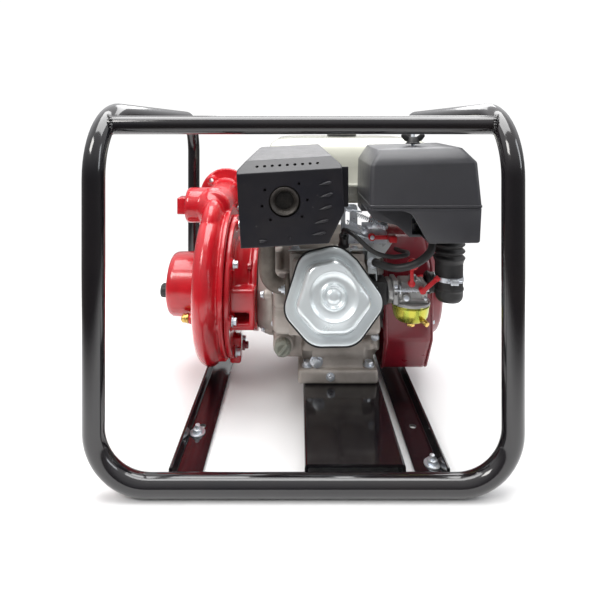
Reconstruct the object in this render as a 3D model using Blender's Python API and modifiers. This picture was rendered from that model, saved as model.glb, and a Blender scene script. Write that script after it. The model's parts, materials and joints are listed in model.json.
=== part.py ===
"""Portable fire pump: an inclined single-cylinder petrol engine driving a close-coupled
centrifugal pump, both carried in a tubular roll frame.

Metres, +Z up, +X from the pump to the recoil starter, -Y towards the rocker cover.
The origin is on the floor under the middle of the frame.
"""

import math

import bmesh
import bpy
from mathutils import Matrix, Vector

# ---------------------------------------------------------------- driving dimensions
GAP = 0.0003                # clearance between pieces that touch
TUBE_R = 0.014              # frame tube, 28 mm outside
POST_X = 0.265              # centre of the posts
POST_Y = 0.289
FRAME_TOP = 0.500
TOP_BEND_R = 0.085
LOW_BEND_R = 0.070
CROSS_R = 0.0125            # cross bars, 25 mm outside
CROSS_Z = 0.469
# The cross bars meet the posts where these already bend back.
CROSS_Y = POST_Y - TOP_BEND_R + math.sqrt(
    TOP_BEND_R ** 2 - (CROSS_Z - (FRAME_TOP - TUBE_R - TOP_BEND_R)) ** 2)
RAIL_W = 0.040
RAIL_T = 0.004
RAIL_END = POST_Y - TUBE_R - GAP
PLATE_TOP = 0.030           # the engine stands on this height
PLATE_X = (0.002, 0.133)
SHAFT_Y = 0.020             # crank and pump axis, along X
SHAFT_Z = 0.166
SHAFT_R = 0.0125
BORE_X = 0.040              # middle of the cylinder along the crank
TILT = math.radians(13.5)   # cylinder above the horizontal, towards -Y
DECK_S = 0.142              # head face, measured along the cylinder from the crank
STROKE = 0.064
PISTON_R = 0.0438
WEB_R = 0.0425              # crank webs; the piston's skirt clears them at the bottom
FOOT_X = (-0.007, 0.129)
FOOT_Y = (-0.087, 0.138)
BOLT_X = (0.0095, 0.1145)   # 105 x 195 mm mounting pattern
BOLT_Y = (-0.072, 0.123)
SIDE_X = -0.0785            # PTO face of the engine
CASE_X = (-0.0497, 0.1352)
CASE_Y = (-0.060, 0.118)
CASE_Z = (0.058, 0.262)
VOLUTE_X = (-0.184, -0.1305)
VOLUTE_R = 0.142
NECK_X = -0.247
NECK_R = 0.060
FLANGE_R = 0.130
TANK_X = (-0.070, 0.240)
TANK_Y = (-0.067, 0.262)
TANK_Z = (0.330, 0.445)
SHIELD_X = (-0.092, 0.058)
SHIELD_Y = (-0.217, -0.074)
SHIELD_Z = (0.298, 0.434)
FILTER_X = (0.093, 0.249)
FILTER_Y = (-0.235, -0.082)
FILTER_Z = (0.304, 0.354, 0.440)        # the base's underside, the seam and the cover's top
STUD = (0.170, -0.1585)     # the stud that holds the air cleaner's cover
FAN_X = (0.1355, 0.222)
RECOIL_X = 0.250
DISCHARGE_X = -0.166        # the pump's outlet, opening towards +Y
DISCHARGE_Z = 0.318
SIDE_BOSS_Z = 0.316
SEAT_X = -0.2335            # the suction flap's seat
CAM_Z = SHAFT_Z - 0.056
OIL_X, OIL_Y, OIL_Z = -0.032, -0.096, 0.099
HEAD_S = (DECK_S + GAP, 0.1890)         # the head, along the cylinder from the crank
COVER_S = (0.1905, 0.2220)              # the rocker cover, likewise
OUTLET_X, OUTLET_Z = -0.026, 0.360      # the muffler's outlet
CAP_X, CAP_Y = 0.085, 0.110             # the fuel cap
ELBOW_X, ELBOW_Y = 0.228, -0.150
CARB_Y, CARB_Z = -0.1335, 0.207         # the carburettor's throat
BOWL_X = 0.172
SPACER = 0.0185             # half the side of the carburettor's insulating block
PLUG_FOOT = (0.168, 0.066, 0.0605)      # along the cylinder, along the crank, up from its middle
PLUG_LEAN = Vector((0.0, -0.250, 0.968))

PARTS = "portable_fire_pump"
SHAFT = Vector((0.0, SHAFT_Y, SHAFT_Z))
ALONG_X = Matrix.Rotation(math.pi / 2, 4, "Y")
ALONG_Y = Matrix.Rotation(-math.pi / 2, 4, "X")


# ---------------------------------------------------------------- scene and materials
def clear_scene():
    for obj in list(bpy.data.objects):
        bpy.data.objects.remove(obj, do_unlink=True)


def collection(name):
    made = bpy.data.collections.new(name)
    bpy.context.scene.collection.children.link(made)
    return made


def material(name, colour, roughness, metallic=0.0):
    made = bpy.data.materials.new(name)
    made.use_nodes = True
    shader = made.node_tree.nodes["Principled BSDF"]
    shader.inputs["Base Color"].default_value = (*colour, 1.0)
    shader.inputs["Roughness"].default_value = roughness
    shader.inputs["Metallic"].default_value = metallic
    return made


clear_scene()
parts = collection(PARTS)
cutters = collection("cutters")
BLACK_PAINT = material("black_paint", (0.010, 0.009, 0.011), 0.22)
RED_PAINT = material("red_paint", (0.55, 0.015, 0.02), 0.28)
DARK_RED = material("dark_red_paint", (0.20, 0.012, 0.02), 0.35)
CAST_ALUMINIUM = material("cast_aluminium", (0.34, 0.30, 0.28), 0.5, 0.7)
SILVER_PAINT = material("silver_paint", (0.55, 0.60, 0.60), 0.3, 0.6)
SATIN_BLACK = material("satin_black", (0.012, 0.012, 0.016), 0.45)
GREY_PLASTIC = material("grey_plastic", (0.07, 0.07, 0.08), 0.5)
TANK_PAINT = material("tank_paint", (0.62, 0.62, 0.52), 0.35)
ZINC = material("zinc", (0.6, 0.6, 0.58), 0.35, 0.9)
CHROMATE = material("chromate", (0.42, 0.38, 0.07), 0.35, 0.9)
BRASS = material("brass", (0.6, 0.42, 0.12), 0.3, 1.0)
STEEL = material("steel", (0.45, 0.45, 0.46), 0.3, 1.0)
RUBBER = material("rubber", (0.015, 0.015, 0.016), 0.6)
RED_PLASTIC = material("red_plastic", (0.5, 0.01, 0.015), 0.4)
CERAMIC = material("ceramic", (0.8, 0.8, 0.78), 0.3)
PAPER = material("filter_paper", (0.6, 0.5, 0.3), 0.9)


# ---------------------------------------------------------------- making shapes
def link(obj, name, look=None):
    """Puts obj among the parts under its node's name, with its material."""
    for home in list(obj.users_collection):
        home.objects.unlink(obj)
    parts.objects.link(obj)
    obj.name = name
    if look:
        obj.data.materials.clear()
        obj.data.materials.append(look)
    return obj


def guide(obj):
    """Makes obj a hidden operand of a Boolean."""
    for home in list(obj.users_collection):
        home.objects.unlink(obj)
    cutters.objects.link(obj)
    obj.hide_render = True
    obj.display_type = "WIRE"
    return obj


def from_bmesh(bm, matrix=None):
    """A new object from bm, with its vertices moved by matrix."""
    if matrix is not None:
        bmesh.ops.transform(bm, matrix=matrix, verts=bm.verts)
    bmesh.ops.recalc_face_normals(bm, faces=bm.faces)
    mesh = bpy.data.meshes.new("shape")
    bm.to_mesh(mesh)
    bm.free()
    obj = bpy.data.objects.new("shape", mesh)
    parts.objects.link(obj)
    return obj


def baked(obj):
    """The evaluated shape of obj as a plain welded mesh object in world space."""
    bpy.context.view_layer.update()
    graph = bpy.context.evaluated_depsgraph_get()
    mesh = bpy.data.meshes.new_from_object(obj.evaluated_get(graph))
    mesh.transform(obj.matrix_world)
    bm = bmesh.new()
    bm.from_mesh(mesh)
    bmesh.ops.remove_doubles(bm, verts=bm.verts, dist=0.00002)
    bm.to_mesh(mesh)
    bm.free()
    bpy.data.objects.remove(obj, do_unlink=True)
    made = bpy.data.objects.new("shape", mesh)
    parts.objects.link(made)
    return made


def box(low, high, matrix=None):
    low, high = Vector(low), Vector(high)
    bm = bmesh.new()
    bmesh.ops.create_cube(bm, size=1.0)
    size = high - low
    bmesh.ops.scale(bm, vec=size, verts=bm.verts)
    bmesh.ops.translate(bm, vec=(low + high) / 2, verts=bm.verts)
    return from_bmesh(bm, matrix)


def rod(start, end, radius, segments=24, end_radius=None):
    """A cylinder or cone from start to end."""
    start, end = Vector(start), Vector(end)
    run = end - start
    bm = bmesh.new()
    bmesh.ops.create_cone(
        bm, cap_ends=True, segments=segments, depth=run.length,
        radius1=radius, radius2=radius if end_radius is None else end_radius)
    turn = run.to_track_quat("Z", "Y").to_matrix().to_4x4()
    return from_bmesh(bm, Matrix.Translation((start + end) / 2) @ turn)


def rod_x(x0, x1, radius, y=SHAFT_Y, z=SHAFT_Z, segments=32):
    return rod((x0, y, z), (x1, y, z), radius, segments)


def turned(profile, origin, axis="X", steps=32, ring=False):
    """A Screw of the (along, radius) profile about an axis through origin."""
    points = [Vector((radius, 0.0, along)) for along, radius in profile]
    mesh = bpy.data.meshes.new("profile")
    count = len(points)
    edges = [(i, i + 1) for i in range(count - 1)] + ([(count - 1, 0)] if ring else [])
    mesh.from_pydata(points, edges, [])
    obj = bpy.data.objects.new("profile", mesh)
    parts.objects.link(obj)
    screw = obj.modifiers.new("turn", "SCREW")
    screw.steps = steps
    screw.render_steps = steps
    screw.use_merge_vertices = True
    screw.merge_threshold = 0.00001
    screw.use_normal_calculate = True
    turn = {"X": ALONG_X, "Y": ALONG_Y, "Z": Matrix.Identity(4)}[axis]
    obj.matrix_world = Matrix.Translation(Vector(origin)) @ turn
    made = baked(obj)
    bm = bmesh.new()
    bm.from_mesh(made.data)
    bmesh.ops.recalc_face_normals(bm, faces=bm.faces)
    bm.to_mesh(made.data)
    bm.free()
    return made


def filleted(corners, segments=4):
    """The outline through (u, v, radius) corners, each rounded with an arc."""
    outline = []
    count = len(corners)
    for i, (u, v, radius) in enumerate(corners):
        here = Vector((u, v))
        before = Vector(corners[i - 1][:2]) - here
        after = Vector(corners[(i + 1) % count][:2]) - here
        if radius <= 0.0:
            outline.append(here)
            continue
        half = before.angle(after) / 2
        reach = radius / math.tan(half)
        centre = here + (before.normalized() + after.normalized()).normalized() * (
            radius / math.sin(half))
        first = here + before.normalized() * reach - centre
        last = here + after.normalized() * reach - centre
        swing = first.angle_signed(last)
        for step in range(segments + 1):
            angle = -swing * step / segments
            outline.append(centre + Matrix.Rotation(angle, 2) @ first)
    return outline


def plate(outline, low, high, axis="Y", matrix=None):
    """A flat outline extruded from low to high along an axis.

    The outline is (x, z) for Y, (y, z) for X and (x, y) for Z.
    """
    curve = bpy.data.curves.new("outline", "CURVE")
    curve.dimensions = "2D"
    curve.fill_mode = "BOTH"
    curve.extrude = (high - low) / 2
    spline = curve.splines.new("POLY")
    spline.points.add(len(outline) - 1)
    for point, (u, v) in zip(spline.points, outline):
        point.co = (u, v, 0.0, 1.0)
    spline.use_cyclic_u = True
    obj = bpy.data.objects.new("outline", curve)
    parts.objects.link(obj)
    middle = (low + high) / 2
    place = {
        "Z": Matrix.Translation((0, 0, middle)),
        "Y": Matrix(((1, 0, 0, 0), (0, 0, -1, middle), (0, 1, 0, 0), (0, 0, 0, 1))),
        "X": Matrix(((0, 0, 1, middle), (1, 0, 0, 0), (0, 1, 0, 0), (0, 0, 0, 1))),
    }[axis]
    obj.matrix_world = (matrix @ place) if matrix is not None else place
    made = baked(obj)
    bm = bmesh.new()
    bm.from_mesh(made.data)
    bmesh.ops.dissolve_limit(bm, angle_limit=0.002, verts=bm.verts, edges=bm.edges)
    bmesh.ops.recalc_face_normals(bm, faces=bm.faces)
    bm.to_mesh(made.data)
    bm.free()
    return made


def route(points, bends, steps=5):
    """The 3-D line through points, with each inner corner rounded to its bend radius."""
    line = [Vector(points[0])]
    for i in range(1, len(points) - 1):
        here = Vector(points[i])
        before = Vector(points[i - 1]) - here
        after = Vector(points[i + 1]) - here
        half = before.angle(after) / 2
        reach = bends[i - 1] / math.tan(half)
        start = here + before.normalized() * reach
        end = here + after.normalized() * reach
        centre = here + (before.normalized() + after.normalized()).normalized() * (
            bends[i - 1] / math.sin(half))
        axis = (start - centre).cross(end - centre)
        swing = (start - centre).angle(end - centre)
        for step in range(steps + 1):
            turn = Matrix.Rotation(swing * step / steps, 3, axis)
            line.append(centre + turn @ (start - centre))
    line.append(Vector(points[-1]))
    return line


def smooth(points, count):
    """count + 1 points along a Catmull-Rom curve through points."""
    ends = [2 * points[0] - points[1], *points, 2 * points[-1] - points[-2]]
    spans = len(points) - 1
    line = []
    for k in range(count + 1):
        at = k / count * spans
        i = min(int(at), spans - 1)
        t = at - i
        a, b, c, d = ends[i:i + 4]
        line.append(0.5 * (2 * b + (c - a) * t + (2 * a - 5 * b + 4 * c - d) * t ** 2
                           + (3 * b - a - 3 * c + d) * t ** 3))
    return line


def tube(line, radius, resolution=3):
    """A round bar along the line, as a welded mesh."""
    curve = bpy.data.curves.new("tube", "CURVE")
    curve.dimensions = "3D"
    curve.bevel_depth = radius
    curve.bevel_resolution = resolution
    curve.use_fill_caps = True
    spline = curve.splines.new("POLY")
    spline.points.add(len(line) - 1)
    for point, place in zip(spline.points, line):
        point.co = (*place, 1.0)
    obj = bpy.data.objects.new("tube", curve)
    parts.objects.link(obj)
    return baked(obj)


def rounded(obj, width, segments=2, angle=35):
    bevel = obj.modifiers.new("round", "BEVEL")
    bevel.width = width
    bevel.segments = segments
    bevel.limit_method = "ANGLE"
    bevel.angle_limit = math.radians(angle)
    bevel.use_clamp_overlap = True
    return obj


def boolean(obj, other, operation):
    step = obj.modifiers.new(operation.lower(), "BOOLEAN")
    step.operation = operation
    step.solver = "EXACT"
    step.object = guide(other)
    return obj


def welded(obj):
    """Closes the hair-thin slivers that a cut through curved faces can leave."""
    weld = obj.modifiers.new("weld", "WELD")
    weld.merge_threshold = 0.00008
    return obj


def joined(obj, *others):
    for other in others:
        boolean(obj, other, "UNION")
    return obj


def cut(obj, *others):
    for other in others:
        boolean(obj, other, "DIFFERENCE")
    return obj


def kept(obj, *others):
    for other in others:
        boolean(obj, other, "INTERSECT")
    return obj


def along_cylinder(s, x=BORE_X, up=0.0):
    """A point s along the cylinder from the crank, x across it and up square to it."""
    return Vector((x,
                   SHAFT_Y - s * math.cos(TILT) + up * math.sin(TILT),
                   SHAFT_Z + s * math.sin(TILT) + up * math.cos(TILT)))


# In this frame +Y runs back to the crank, so a piece at y = -s is s along the cylinder.
CYLINDER = Matrix.Translation(SHAFT) @ Matrix.Rotation(-TILT, 4, "X")


def hexagon(start, end, across):
    return rod(start, end, across / math.sqrt(3), 6)


# ---------------------------------------------------------------- roll frame
def roll_frame():
    top = FRAME_TOP - TUBE_R
    for name, side in (("front_frame_tube", -1), ("rear_frame_tube", 1)):
        y = side * POST_Y
        joint_y = side * GAP / 2
        corners = [(-POST_X, joint_y, top), (-POST_X, y, top), (-POST_X, y, TUBE_R),
                   (POST_X, y, TUBE_R), (POST_X, y, top), (POST_X, joint_y, top)]
        bends = (TOP_BEND_R, LOW_BEND_R, LOW_BEND_R, TOP_BEND_R)
        link(tube(route(corners, bends), TUBE_R, 4), name, BLACK_PAINT)
    for name, side in (("front_cross_bar", -1), ("rear_cross_bar", 1)):
        y = side * CROSS_Y
        bar = rod((-POST_X, y, CROSS_Z), (POST_X, y, CROSS_Z), CROSS_R, 20)
        saddles = []
        for x in (-POST_X, POST_X):
            corners = [(x, 0.0, top), (x, side * POST_Y, top), (x, side * POST_Y, 0.2)]
            saddles.append(tube(route(corners, (TOP_BEND_R,)), TUBE_R + GAP, 4))
            beyond = x + math.copysign(0.02, x)
            saddles.append(box((min(x, beyond), y - 0.03, CROSS_Z - 0.03),
                               (max(x, beyond), y + 0.03, CROSS_Z + 0.03)))
        link(cut(bar, *saddles), name, BLACK_PAINT)


def rail(name, low_x, flange_on_left):
    """An angle iron: a flat web with a lip standing on one side."""
    high_x = low_x + RAIL_W
    base = box((low_x, -RAIL_END, 0.001), (high_x, RAIL_END, 0.001 + RAIL_T))
    lip_x = low_x if flange_on_left else high_x - RAIL_T
    lip = box((lip_x, -RAIL_END, 0.002), (lip_x + RAIL_T, RAIL_END, 0.0255))
    link(joined(base, lip), name, BLACK_PAINT)


def engine_plate():
    low, high = PLATE_X
    web = box((low, -RAIL_END + 0.006, PLATE_TOP - RAIL_T), (high, RAIL_END - 0.006, PLATE_TOP))
    flanges = [box((x, -RAIL_END, 0.0015), (x + RAIL_T, RAIL_END, PLATE_TOP - 0.001))
               for x in (low, high - RAIL_T)]
    holes = [rod((x, y, 0.02), (x, y, 0.04), 0.0053, 10) for x in BOLT_X for y in BOLT_Y]
    link(cut(joined(web, *flanges), *holes), "engine_plate", BLACK_PAINT)


# ---------------------------------------------------------------- pump
def spiral_growth(obj, grow=0.016):
    """Widens the volute towards its top, where the water leaves."""
    for vertex in obj.data.vertices:
        y = vertex.co.y - SHAFT_Y
        z = vertex.co.z - SHAFT_Z
        radius = math.hypot(y, z)
        share = min(max((radius - 0.085) / 0.03, 0.0), 1.0)
        rise = (1 + z / max(radius, 1e-6)) / 2
        factor = 1 + share * rise * grow / max(radius, 1e-6)
        vertex.co.y = SHAFT_Y + y * factor
        vertex.co.z = SHAFT_Z + z * factor
    bm = bmesh.new()
    bm.from_mesh(obj.data)
    bmesh.ops.triangulate(bm, faces=bm.faces)
    bm.to_mesh(obj.data)
    bm.free()
    return obj


def ring_arc(centre_x, centre_r, half, high, start, end, steps):
    """Points of an elliptic arc of the volute's section."""
    points = []
    for k in range(steps + 1):
        angle = math.radians(start + (end - start) * k / steps)
        points.append((centre_x - half * math.cos(angle), centre_r + high * math.sin(angle)))
    return points


def volute_casing():
    left, right = VOLUTE_X
    outer = [(left + 0.001, 0.0), (left + 0.001, 0.085)]
    outer += ring_arc(-0.162, 0.113, 0.022, VOLUTE_R - 0.113, 0, 150, 5)
    outer += [(-0.139, FLANGE_R - 0.003), (-0.139, FLANGE_R), (right, FLANGE_R), (right, 0.0)]
    body = spiral_growth(turned(outer, SHAFT, steps=30))
    neck = turned([(NECK_X, 0.0), (NECK_X, NECK_R - 0.004), (NECK_X + 0.004, NECK_R),
                   (left + 0.006, NECK_R), (left + 0.006, 0.0)], SHAFT, steps=26)
    side_boss = rod((-0.218, SHAFT_Y + 0.0007, SIDE_BOSS_Z),
                    (-0.1520, SHAFT_Y + 0.0007, SIDE_BOSS_Z), 0.034, 28)
    outlet = rod((DISCHARGE_X, SHAFT_Y - 0.02, DISCHARGE_Z),
                 (DISCHARGE_X, 0.125, DISCHARGE_Z), 0.034, 28)
    collar = rod((DISCHARGE_X, 0.115, DISCHARGE_Z), (DISCHARGE_X, 0.129, DISCHARGE_Z), 0.056, 32)
    brass_boss = rod((-0.202, SHAFT_Y - 0.058, SHAFT_Z - 0.043),
                     (-0.175, SHAFT_Y - 0.058, SHAFT_Z - 0.043), 0.011, 16)
    joined(body, neck, side_boss, outlet, collar, brass_boss)
    inner = [(-0.1765, 0.0), (-0.1765, 0.100)]
    inner += ring_arc(-0.162, 0.111, 0.0145, 0.0235, 20, 160, 4)
    inner += [(-0.1450, 0.108), (right + 0.002, 0.108), (right + 0.002, 0.0)]
    cavity = spiral_growth(turned(inner, SHAFT, steps=22))
    suction = turned([(NECK_X - 0.002, 0.0), (NECK_X - 0.002, 0.033), (SEAT_X, 0.033),
                      (SEAT_X, 0.047), (-0.170, 0.047), (-0.170, 0.0)], SHAFT, steps=20)
    cut(body, cavity, suction,
        rod((-0.220, SHAFT_Y, SIDE_BOSS_Z), (-0.158, SHAFT_Y, SIDE_BOSS_Z), 0.0245, 24),
        rod((DISCHARGE_X, SHAFT_Y - 0.002, DISCHARGE_Z),
            (DISCHARGE_X, 0.131, DISCHARGE_Z), 0.0255, 24),
        rod((-0.162, SHAFT_Y, SHAFT_Z + 0.10), (-0.162, SHAFT_Y, DISCHARGE_Z), 0.013, 16),
        rod((-0.204, SHAFT_Y - 0.058, SHAFT_Z - 0.043),
            (-0.190, SHAFT_Y - 0.058, SHAFT_Z - 0.043), 0.0063, 12))
    link(welded(body), "volute_casing", RED_PAINT)


def pump_fittings():
    y, z = SHAFT_Y - 0.058, SHAFT_Z - 0.043
    brass = hexagon((-0.2135, y, z), (-0.2023, y, z), 0.015)
    link(joined(brass, rod((-0.2030, y, z), (-0.193, y, z), 0.0060, 12)), "priming_plug", BRASS)
    y, z = SHAFT_Y, SIDE_BOSS_Z
    head = box((-0.235, y - 0.0165, z - 0.0165), (-0.2183, y + 0.0165, z + 0.0165))
    stub = rod((-0.219, y, z), (-0.202, y, z), 0.0241, 24)
    link(joined(head, stub), "discharge_plug", RED_PAINT)
    knob_z = SHAFT_Z - 0.013
    cap = rod_x(NECK_X - 0.0008, SEAT_X - 0.0008, 0.0326, segments=28)
    knob = rod((-0.268, SHAFT_Y, knob_z), (NECK_X, SHAFT_Y, knob_z), 0.013, 20)
    link(joined(cap, knob), "suction_plug", RUBBER)
    hinge_z = SHAFT_Z + 0.0405
    flap = rod_x(SEAT_X + 0.0005, SEAT_X + 0.0045, 0.038, segments=28)
    lug = box((SEAT_X + 0.0005, SHAFT_Y - 0.010, SHAFT_Z + 0.030),
              (SEAT_X + 0.0065, SHAFT_Y + 0.010, hinge_z))
    link(joined(flap, lug), "check_valve_flap", RUBBER)


def impeller():
    hub = turned([(-0.1700, SHAFT_R + GAP), (-0.1700, 0.019), (-0.160, 0.022),
                  (-0.1440, 0.030), (-0.1430, 0.103), (-0.1385, 0.103),
                  (-0.1385, SHAFT_R + GAP)], SHAFT, ring=True, steps=24)
    blades = []
    for k in range(6):
        start = 2 * math.pi * k / 6
        inner, outer = [], []
        for step in range(5):
            share = step / 4
            radius = 0.026 + (0.1015 - 0.026) * share
            angle = start - 1.25 * share
            width = 0.0035 / radius / 2
            inner.append((radius * math.cos(angle - width), radius * math.sin(angle - width)))
            outer.append((radius * math.cos(angle + width), radius * math.sin(angle + width)))
        outline = [(SHAFT_Y + u, SHAFT_Z + v) for u, v in inner + outer[::-1]]
        blades.append(plate(outline, -0.1600, -0.1425, "X"))
    link(joined(hub, *blades), "impeller", BRASS)


def pump_adapter():
    body = turned([(-0.1368, 0.0245), (-0.1368, 0.1072), (-0.1302, 0.1072),
                   (-0.1302, FLANGE_R), (-0.1220, FLANGE_R), (-0.1220, 0.078),
                   (-0.112, 0.074), (-0.0900, 0.074), (-0.0880, 0.084), (-0.0789, 0.084),
                   (-0.0789, 0.062), (-0.1140, 0.062), (-0.1180, 0.0245)], SHAFT, ring=True,
                  steps=28)
    rib = box((-0.1265, -0.086, SHAFT_Z - 0.038), (-0.0850, -0.036, SHAFT_Z + 0.010))
    window = box((-0.1155, -0.075, SHAFT_Z - 0.064), (-0.0940, SHAFT_Y - 0.020, SHAFT_Z - 0.042))
    lug = box((-0.1290, SHAFT_Y - 0.062, 0.040), (-0.1070, SHAFT_Y - 0.040, 0.090))
    joined(body, rounded(rib, 0.004, 1), rounded(lug, 0.003, 1))
    cut(body, window)
    link(body, "pump_adapter", RED_PAINT)
    y = SHAFT_Y - 0.051
    plug = joined(box((-0.1030, y - 0.006, 0.066), (-0.0960, y + 0.006, 0.078)),
                  rod((-0.1067, y, 0.072), (-0.1000, y, 0.072), 0.009, 16))
    link(plug, "drain_plug", DARK_RED)
    seal = turned([(-0.1360, SHAFT_R + 0.0006), (-0.1360, 0.0241), (-0.1230, 0.0241),
                   (-0.1230, 0.0190), (-0.1190, 0.0190), (-0.1190, SHAFT_R + 0.0006)],
                  SHAFT, ring=True, steps=24)
    link(seal, "mechanical_seal", STEEL)


# ---------------------------------------------------------------- engine block
def crankcase():
    block = rounded(box((CASE_X[0], CASE_Y[0], CASE_Z[0]), (CASE_X[1], CASE_Y[1], CASE_Z[1])),
                    0.014)
    foot = rounded(box((FOOT_X[0], FOOT_Y[0], PLATE_TOP + GAP), (FOOT_X[1], FOOT_Y[1], 0.055)),
                   0.004, 1)
    sump = rounded(box((0.004, -0.078, 0.040), (0.122, 0.105, 0.100)), 0.010)
    neck = rounded(box((-0.0496, -0.0900, 0.0815), (-0.016, -0.030, 0.1165)), 0.005)
    barrel = rod(along_cylinder(0.04), along_cylinder(DECK_S - 0.001), 0.056, 28)
    fins = [box((BORE_X - 0.060, -s - 0.0035, -0.060), (BORE_X + 0.060, -s, 0.060), CYLINDER)
            for s in (0.090, 0.102, 0.114, 0.126)]
    deck = box((BORE_X - 0.058, -DECK_S, -0.058), (BORE_X + 0.058, -DECK_S + 0.006, 0.058),
               CYLINDER)
    joined(block, foot, sump, neck, barrel, deck, *fins)
    bore = rod(along_cylinder(0.0), along_cylinder(DECK_S + 0.01), 0.0442, 32)
    chamber = rod_x(-0.060, 0.124, 0.066)
    cam_chamber = rod_x(-0.060, 0.110, 0.041, z=CAM_Z)
    journal = rod_x(0.10, 0.14, 0.0177, segments=24)
    holes = [rod((x, y, 0.02), (x, y, 0.07), 0.0053, 10) for x in BOLT_X for y in BOLT_Y]
    pockets = [rod((x, y, 0.0551), (x, y, 0.085), 0.0115, 12) for x in BOLT_X for y in BOLT_Y]
    cut(block, bore, chamber, cam_chamber, journal, *holes, *pockets)
    oil_hole = rod((OIL_X, -0.095, OIL_Z), (OIL_X, -0.05, OIL_Z), 0.0100, 20)
    drain_hole = rod((0.0245, -0.085, 0.066), (0.0245, -0.060, 0.066), 0.0063, 12)
    cut(block, oil_hole, drain_hole)
    link(block, "crankcase", CAST_ALUMINIUM)


def block_fittings():
    cap = rod((OIL_X, OIL_Y - 0.012, OIL_Z), (OIL_X, -0.0903, OIL_Z), 0.0135, 24)
    rib = box((-0.0125, 0.0, -0.0020), (0.0125, 0.005, 0.0020),
              Matrix.Translation((OIL_X, OIL_Y - 0.016, OIL_Z))
              @ Matrix.Rotation(math.radians(-50), 4, "Y"))
    stem = rod((OIL_X, -0.0910, OIL_Z), (OIL_X, -0.060, OIL_Z), 0.0095, 20)
    link(joined(cap, rib, stem), "oil_filler_cap", GREY_PLASTIC)
    drain = hexagon((0.0245, -0.0860, 0.066), (0.0245, -0.0783, 0.066), 0.017)
    link(joined(drain, rod((0.0245, -0.079, 0.066), (0.0245, -0.062, 0.066), 0.0060, 12)),
         "oil_drain_bolt", ZINC)
    for number, (x, y) in enumerate([(x, BOLT_Y[0]) for x in BOLT_X], 1):
        bolt = hexagon((x, y, 0.0572), (x, y, 0.0640), 0.014)
        washer = rod((x, y, 0.0553), (x, y, 0.0576), 0.0095, 20)
        shank = rod((x, y, 0.0215), (x, y, 0.056), 0.0049, 12)
        link(joined(bolt, washer, shank), f"mount_bolt_{number}", ZINC)
    cover = turned([(SIDE_X, SHAFT_R + 0.001), (SIDE_X, 0.078), (-0.0720, 0.088),
                    (-0.0560, 0.091), (-0.0500, 0.091), (-0.0500, 0.070), (-0.0660, 0.062),
                    (-0.0680, 0.024), (-0.0560, 0.024), (-0.0560, SHAFT_R + 0.001)],
                   SHAFT, ring=True, steps=28)
    link(cover, "side_cover", CAST_ALUMINIUM)


def engine_internals():
    shaft = rod_x(-0.1695, -0.0450, SHAFT_R, segments=24)
    pieces = [rod_x(-0.0548, 0.018, 0.0170, segments=24),
              rod_x(-0.040, -0.030, 0.0185, segments=24),
              rod_x(0.010, 0.024, WEB_R, segments=28),
              rod_x(0.022, 0.060, 0.0085, SHAFT_Y - STROKE / 2 * math.cos(TILT),
                    SHAFT_Z + STROKE / 2 * math.sin(TILT), 16),
              rod_x(0.058, 0.072, WEB_R, segments=28),
              rod_x(0.068, 0.1760, 0.0165, segments=24),
              rod_x(0.170, 0.2150, 0.0100, segments=20)]
    link(joined(shaft, *pieces), "crankshaft", STEEL)
    cam = rod_x(-0.048, 0.095, 0.0080, z=CAM_Z, segments=16)
    lobes = [rod_x(x, x + 0.010, 0.0130, z=CAM_Z + 0.002, segments=16) for x in (-0.020, 0.080)]
    gear = rod_x(-0.039, -0.031, 0.0370, z=CAM_Z, segments=28)
    link(joined(cam, gear, *lobes), "camshaft", STEEL)
    crown = rod(along_cylinder(DECK_S - 0.034), along_cylinder(DECK_S - 0.002), PISTON_R, 32)
    hollow = rod(along_cylinder(DECK_S - 0.040), along_cylinder(DECK_S - 0.010), 0.036, 24)
    link(cut(crown, hollow), "piston", CAST_ALUMINIUM)


def cylinder_head():
    near, far = HEAD_S
    half = 0.060
    head = box((BORE_X - 0.048, -far + 0.001, -0.048), (BORE_X + half, -near - 0.001, 0.048),
               CYLINDER)
    fins = []
    for s in (near, 0.1515, 0.1605, 0.1695, 0.1785):
        depth = 0.0040 if s > near else 0.0060
        fins.append(box((BORE_X - half, -s - depth, -half), (BORE_X + half - 0.002, -s, half),
                        CYLINDER))
    rim = plate(cover_outline(0.0015), -far, -far + 0.006, "Y", CYLINDER)
    chamber = rod(along_cylinder(DECK_S - 0.004), along_cylinder(DECK_S + 0.004), 0.040, 28)
    link(cut(joined(head, rim, *fins), chamber), "cylinder_head", CAST_ALUMINIUM)


COVER_CORNERS = [(-0.045, 0.060, 0.030), (0.014, 0.073, 0.036), (0.041, 0.050, 0.026),
                 (0.084, -0.012, 0.024), (0.036, -0.072, 0.032), (-0.029, -0.073, 0.034),
                 (-0.073, -0.026, 0.030)]


def cover_outline(inset=0.0):
    """The rocker cover's seven-sided outline, drawn in by inset."""
    corners = [(u * (1 - inset / 0.066), v * (1 - inset / 0.066), radius)
               for u, v, radius in COVER_CORNERS]
    return [(BORE_X + 0.003 + u, v) for u, v in filleted(corners)]


def rocker_cover():
    near, far = COVER_S
    gasket = plate(cover_outline(0.0005), -near + GAP, -HEAD_S[1] - GAP, "Y", CYLINDER)
    inner = plate(cover_outline(0.010), -0.2, -0.18, "Y", CYLINDER)
    link(cut(gasket, inner), "rocker_gasket", RUBBER)
    flange = plate(cover_outline(), -near - 0.010, -near, "Y", CYLINDER)
    dome = rounded(plate(cover_outline(0.013), -far + 0.003, -near - 0.002, "Y", CYLINDER),
                   0.009, 2, 60)
    boss = rod(along_cylinder(far - 0.010, BORE_X + 0.006), along_cylinder(far, BORE_X + 0.006),
               0.034, 32)
    hollow = plate(cover_outline(0.019), -far + 0.008, -near + 0.002, "Y", CYLINDER)
    link(cut(joined(flange, dome, boss), hollow), "rocker_cover", SILVER_PAINT)


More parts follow.
